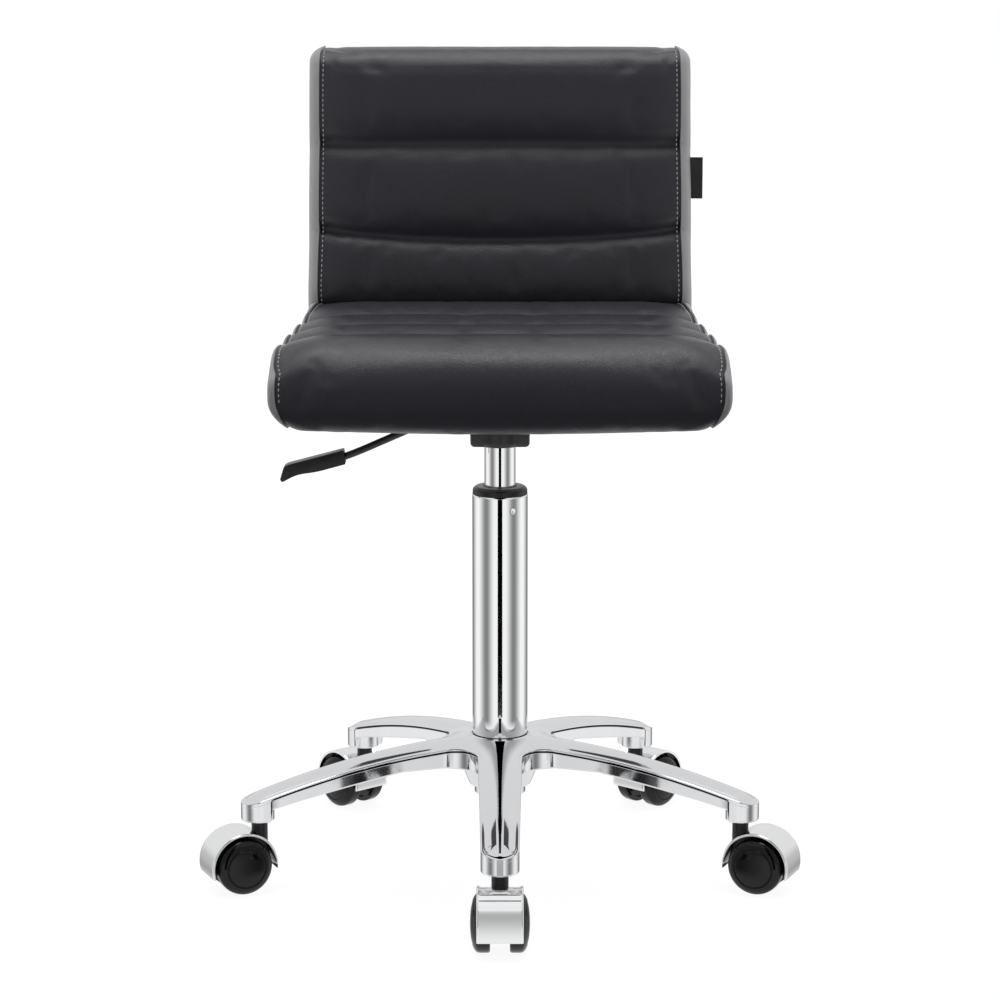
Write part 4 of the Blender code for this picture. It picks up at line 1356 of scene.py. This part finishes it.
def stitches(route, pitch, length, radius):
    """Short threads laid end to end along a route, each a little capsule."""
    lengths = [0.0]
    for a, b in zip(route, route[1:]):
        lengths.append(lengths[-1] + (b - a).length)

    def at(distance):
        for i in range(len(route) - 1):
            if lengths[i + 1] >= distance:
                share = (distance - lengths[i]) / max(1e-9, lengths[i + 1] - lengths[i])
                return route[i].lerp(route[i + 1], share)
        return route[-1]

    work = bmesh.new()
    for k in range(int(lengths[-1] / pitch)):
        start = at(k * pitch)
        end = at(k * pitch + length)
        if (end - start).length < 1e-5:
            continue
        run = end - start
        turn = Vector((0.0, 0.0, 1.0)).rotation_difference(run.normalized()).to_matrix().to_4x4()
        stretch = Matrix.Diagonal((1, 1, run.length / (2 * radius), 1))
        place = Matrix.Translation((start + end) / 2) @ turn @ stretch
        bmesh.ops.create_uvsphere(work, u_segments=8, v_segments=6, radius=radius, matrix=place)
    mesh = mesh_from(work, "stitches")
    mesh.shade_smooth()
    return mesh


def make_seams():
    """Piping round both side panels, and the row of stitches beside it."""
    face, rear = matched_lines()
    loop = face[:-2] + rear[::-1][2:]
    for side, name in ((-1, "left"), (1, "right")):
        welt = tube_along(seam_route(loop, -WELT_RADIUS / 2, -0.0006, side), WELT_RADIUS, 12)
        piece(f"welt_{name}", smooth_mesh(welt, 60), "black_vinyl", "seat")
        route = seam_route(face[:-6], STITCH_INSET, 0.0003, side)
        row = stitches(route, STITCH_PITCH, STITCH_LENGTH, THREAD_RADIUS)
        piece(f"stitching_{name}", row, "thread", "seat")


def make_tag():
    """Blank woven ribbon, folded in two and sewn into the side seam of the backrest."""
    low, high = TAG_LOW, TAG_HIGH
    middle = (low.y + high.y) / 2
    inner = low.x - 0.003
    fold = 0.00062
    line = [(inner + (high.x - fold - inner) * k / 8, -fold) for k in range(9)]
    line += [(high.x - fold + fold * math.sin(a), -fold * math.cos(a)) for a in (0.5, 1.0, 1.57, 2.14, 2.64)]
    line += [(high.x - fold - (high.x - fold - inner) * k / 8, fold) for k in range(9)]
    rows = []
    for x, off in line:
        bow = 0.0011 * ((x - inner) / (high.x - inner)) ** 2
        row = []
        for k in range(13):
            z = low.z + (high.z - low.z) * k / 12
            wave = 0.00035 * math.sin(k * 0.9 + x * 260)
            row.append((x, middle + off - bow + wave, z))
        rows.append(row)
    mesh = modified(grid_mesh(rows), ("SOLIDIFY", {"thickness": 0.00035, "offset": 0.0}))
    piece("blank_tag", smooth_mesh(mesh, 50), "tag_fabric", "seat", "label_tag")


# ---------------------------------------------------------------- stage, light and camera

CAMERA_DISTANCE = 2.50
CAMERA_HEIGHT = 0.785
CAMERA_PITCH = 10.14
CAMERA_LENS = 101.95
# Brightness of the studio's flats, from straight in front (0) round to straight behind (1).
FLATS = [
    (0.0, 0.95),
    (0.10, 1.0),
    (0.17, 0.95),
    (0.26, 0.30),
    (0.35, 0.16),
    (0.44, 0.55),
    (0.55, 1.15),
    (0.66, 0.95),
    (0.79, 0.20),
    (0.89, 0.16),
    (1.0, 0.80),
]
# Brightness of the strip in front of the front caster, from its foot (0) to its top (1).
STRIP_LEVELS = [
    (0.0, 0.95),
    (0.24, 0.82),
    (0.38, 0.66),
    (0.5, 0.56),
    (0.62, 0.46),
    (0.76, 0.46),
    (0.88, 0.60),
    (1.0, 0.90),
]
STRIP_LOW = 0.002
STRIP_HIGH = 0.076


def make_floor():
    work = bmesh.new()
    bmesh.ops.create_grid(work, x_segments=1, y_segments=1, size=30.0)
    mesh = mesh_from(work, "floor")
    material, shader = new_material("floor", (0.14, 0.14, 0.14), 0.9)
    shader.inputs["Specular IOR Level"].default_value = 0.0
    shader.inputs["Emission Color"].default_value = (1.0, 1.0, 1.0, 1.0)
    shader.inputs["Emission Strength"].default_value = 0.93
    mesh.materials.append(material)
    floor = linked("floor", mesh)
    floor.location.z = -0.0005
    floor.visible_glossy = False


class Sky:
    """Small helper that builds the studio's surroundings out of math nodes."""

    def __init__(self, tree):
        self.tree = tree

    def value(self, operation, *terms):
        node = self.tree.nodes.new("ShaderNodeMath")
        node.operation = operation
        for socket, term in zip(node.inputs, terms):
            if isinstance(term, (int, float)):
                socket.default_value = term
            else:
                self.tree.links.new(term, socket)
        return node.outputs[0]

    def step(self, term, low, high):
        node = self.tree.nodes.new("ShaderNodeMapRange")
        node.interpolation_type = "SMOOTHSTEP"
        node.inputs["From Min"].default_value = low
        node.inputs["From Max"].default_value = high
        self.tree.links.new(term, node.inputs["Value"])
        return node.outputs["Result"]

    def blend(self, share, low, high):
        rest = self.value("SUBTRACT", 1.0, share)
        return self.value("ADD", self.value("MULTIPLY", rest, low), self.value("MULTIPLY", share, high))

    def ramp(self, term, stops):
        node = self.tree.nodes.new("ShaderNodeValToRGB")
        node.color_ramp.interpolation = "B_SPLINE"
        while len(node.color_ramp.elements) < len(stops):
            node.color_ramp.elements.new(0.5)
        for element, (place, level) in zip(node.color_ramp.elements, stops):
            element.position = place
            element.color = (level, level, level, 1.0)
        self.tree.links.new(term, node.inputs["Fac"])
        return node.outputs["Color"]


def make_world():
    """White studio: a softbox overhead, grey flats to the sides and a narrow dark flat in front."""
    world = bpy.data.worlds.new("studio")
    bpy.context.scene.world = world
    world.use_nodes = True
    tree = world.node_tree
    sky = Sky(tree)
    background = tree.nodes["Background"]
    place = tree.nodes.new("ShaderNodeTexCoord")
    parts = tree.nodes.new("ShaderNodeSeparateXYZ")
    tree.links.new(place.outputs["Generated"], parts.inputs["Vector"])
    x, y, z = parts.outputs["X"], parts.outputs["Y"], parts.outputs["Z"]
    around = sky.value("ARCTAN2", sky.value("ABSOLUTE", x), sky.value("MULTIPLY", y, -1.0))
    around = sky.value("DIVIDE", around, math.pi)
    flats = sky.ramp(around, FLATS)
    front = sky.blend(sky.step(around, 0.25, 0.70), 0.44, 0.80)
    upper = sky.blend(sky.step(z, 0.94, 0.997), front, 7.0)
    level = sky.blend(sky.step(z, -0.10, 0.16), flats, upper)
    level = sky.blend(sky.step(z, -0.30, -0.50), level, 0.9)
    narrow = sky.value("LESS_THAN", around, 0.054)
    above = sky.value("GREATER_THAN", z, -0.256)
    below = sky.value("LESS_THAN", z, 0.80)
    flat = sky.value("MULTIPLY", narrow, sky.value("MULTIPLY", above, below))
    level = sky.blend(flat, level, 0.0)
    seen = tree.nodes.new("ShaderNodeLightPath").outputs["Is Camera Ray"]
    level = sky.blend(seen, level, 1.0)
    tree.links.new(level, background.inputs["Strength"])
    background.inputs["Color"].default_value = (1.0, 1.0, 1.0, 1.0)


def one_sided(name, colour, strength):
    """A card's material: it shows on its front and is clear from behind."""
    made = bpy.data.materials.new(name)
    made.use_nodes = True
    made.node_tree.nodes.clear()
    output = add_node(made, "ShaderNodeOutputMaterial")
    mix = add_node(made, "ShaderNodeMixShader")
    face = add_node(made, "ShaderNodeNewGeometry")
    glow = add_node(made, "ShaderNodeEmission")
    glow.inputs["Color"].default_value = (*colour, 1.0)
    glow.inputs["Strength"].default_value = strength
    clear = add_node(made, "ShaderNodeBsdfTransparent")
    wire(made, face.outputs["Backfacing"], mix.inputs[0])
    wire(made, glow.outputs[0], mix.inputs[1])
    wire(made, clear.outputs[0], mix.inputs[2])
    wire(made, mix.outputs[0], output.inputs["Surface"])
    return made


def card(name, points, material, diffuse=False):
    """A studio card that the camera doesn't see."""
    mesh = bpy.data.meshes.new(name)
    mesh.from_pydata(points, [], [tuple(range(len(points)))])
    mesh.materials.append(material)
    obj = linked(name, mesh)
    obj.visible_camera = False
    obj.visible_shadow = False
    obj.visible_diffuse = diffuse
    return obj


def graded(material, low, high, stops):
    """Vary a card's glow with its height."""
    sky = Sky(material.node_tree)
    parts = add_node(material, "ShaderNodeSeparateXYZ")
    wire(material, object_place(material), parts.inputs["Vector"])
    share = sky.value("DIVIDE", sky.value("SUBTRACT", parts.outputs["Z"], low), high - low)
    glow = [n for n in material.node_tree.nodes if n.type == "EMISSION"][0]
    wire(material, sky.ramp(share, stops), glow.inputs["Color"])
    return material


def level_card(name, start, end, height, material, diffuse=False):
    """A level card between two (half width, y) ends: it faces down if it runs backwards, else up."""
    (half_start, y_start), (half_end, y_end) = start, end
    corners = [(-half_start, y_start), (-half_end, y_end), (half_end, y_end), (half_start, y_start)]
    card(name, [(x, y, height) for x, y in corners], material, diffuse)


def make_seat_cards(black):
    """Under the seat's level: a dark flag, a bright card over the base and its black centre line."""
    front = PAD_LOW.y + 0.030
    dark = one_sided("dark", (1.0, 1.0, 1.0), 0.10)
    level_card("dark_flag", (0.55, front), (0.55, front - 1.6), PAD_BOTTOM - 0.038, dark, True)
    above = HOUSING_LOW.z - 0.012
    flare = [(-0.20, COLUMN.y - 0.50), (-0.20, COLUMN.y - 0.20), (-0.13, COLUMN.y - 0.13)]
    flare += [(-0.06, COLUMN.y - 0.05), (-0.06, COLUMN.y + 0.26)]
    flare += [(-x, y) for x, y in flare[::-1]]
    bright = one_sided("bright", (1.0, 1.0, 1.0), 0.80)
    card("bright_card", [(x, y, above) for x, y in flare], bright)
    near = COLUMN.y - 0.0285
    under = above - 0.001
    shade = [(-0.0036, near, 0.106), (0.0036, near, 0.106), (0.0190, near, under), (-0.0190, near, under)]
    card("column_shade", shade, black)
    level_card("centre_shade", (0.017, COLUMN.y - 0.2575), (0.019, near), under, black)


def make_caster_cards(black):
    """Round the front caster's hood: a black line and a bright card over it, a graded strip before it."""
    axle = JOINTS["caster_1_left_roll"]["pos_m"][1]
    level_card("hood_line", (0.0195, axle - 0.0205), (0.0195, axle - 0.0170), 0.088, black)
    nose = COLUMN.y - 0.244
    bright = one_sided("sky", (1.0, 1.0, 1.0), 0.92)
    level_card("hood_sky", (0.022, nose - 0.0675), (0.022, nose), 0.089, bright)
    ahead = axle - 0.0465
    corners = [(-0.021, STRIP_HIGH), (0.021, STRIP_HIGH), (0.021, STRIP_LOW), (-0.021, STRIP_LOW)]
    glow = graded(one_sided("strip", (1.0, 1.0, 1.0), 1.0), STRIP_LOW, STRIP_HIGH, STRIP_LEVELS)
    card("strip", [(x, ahead, z) for x, z in corners], glow)


def make_camera():
    data = bpy.data.cameras.new("camera")
    data.sensor_width = 36.0
    data.lens = CAMERA_LENS
    data.clip_end = 100.0
    camera = linked("camera", data)
    camera.location = (COLUMN.x, COLUMN.y - CAMERA_DISTANCE, CAMERA_HEIGHT)
    camera.rotation_euler = (math.radians(90 - CAMERA_PITCH), 0.0, 0.0)
    bpy.context.scene.camera = camera


make_camera()
finish_cad_nodes()
make_star_base()
make_column()
make_gas_cylinder()
make_casters()
make_mechanism()
make_lever()
make_face()
make_gussets()
make_rear_cover()
make_seams()
make_tag()
make_floor()
make_world()
BLACK = one_sided("black", (0.0, 0.0, 0.0), 0.0)
make_seat_cards(BLACK)
make_caster_cards(BLACK)
bpy.context.scene.view_settings.view_transform = "Standard"
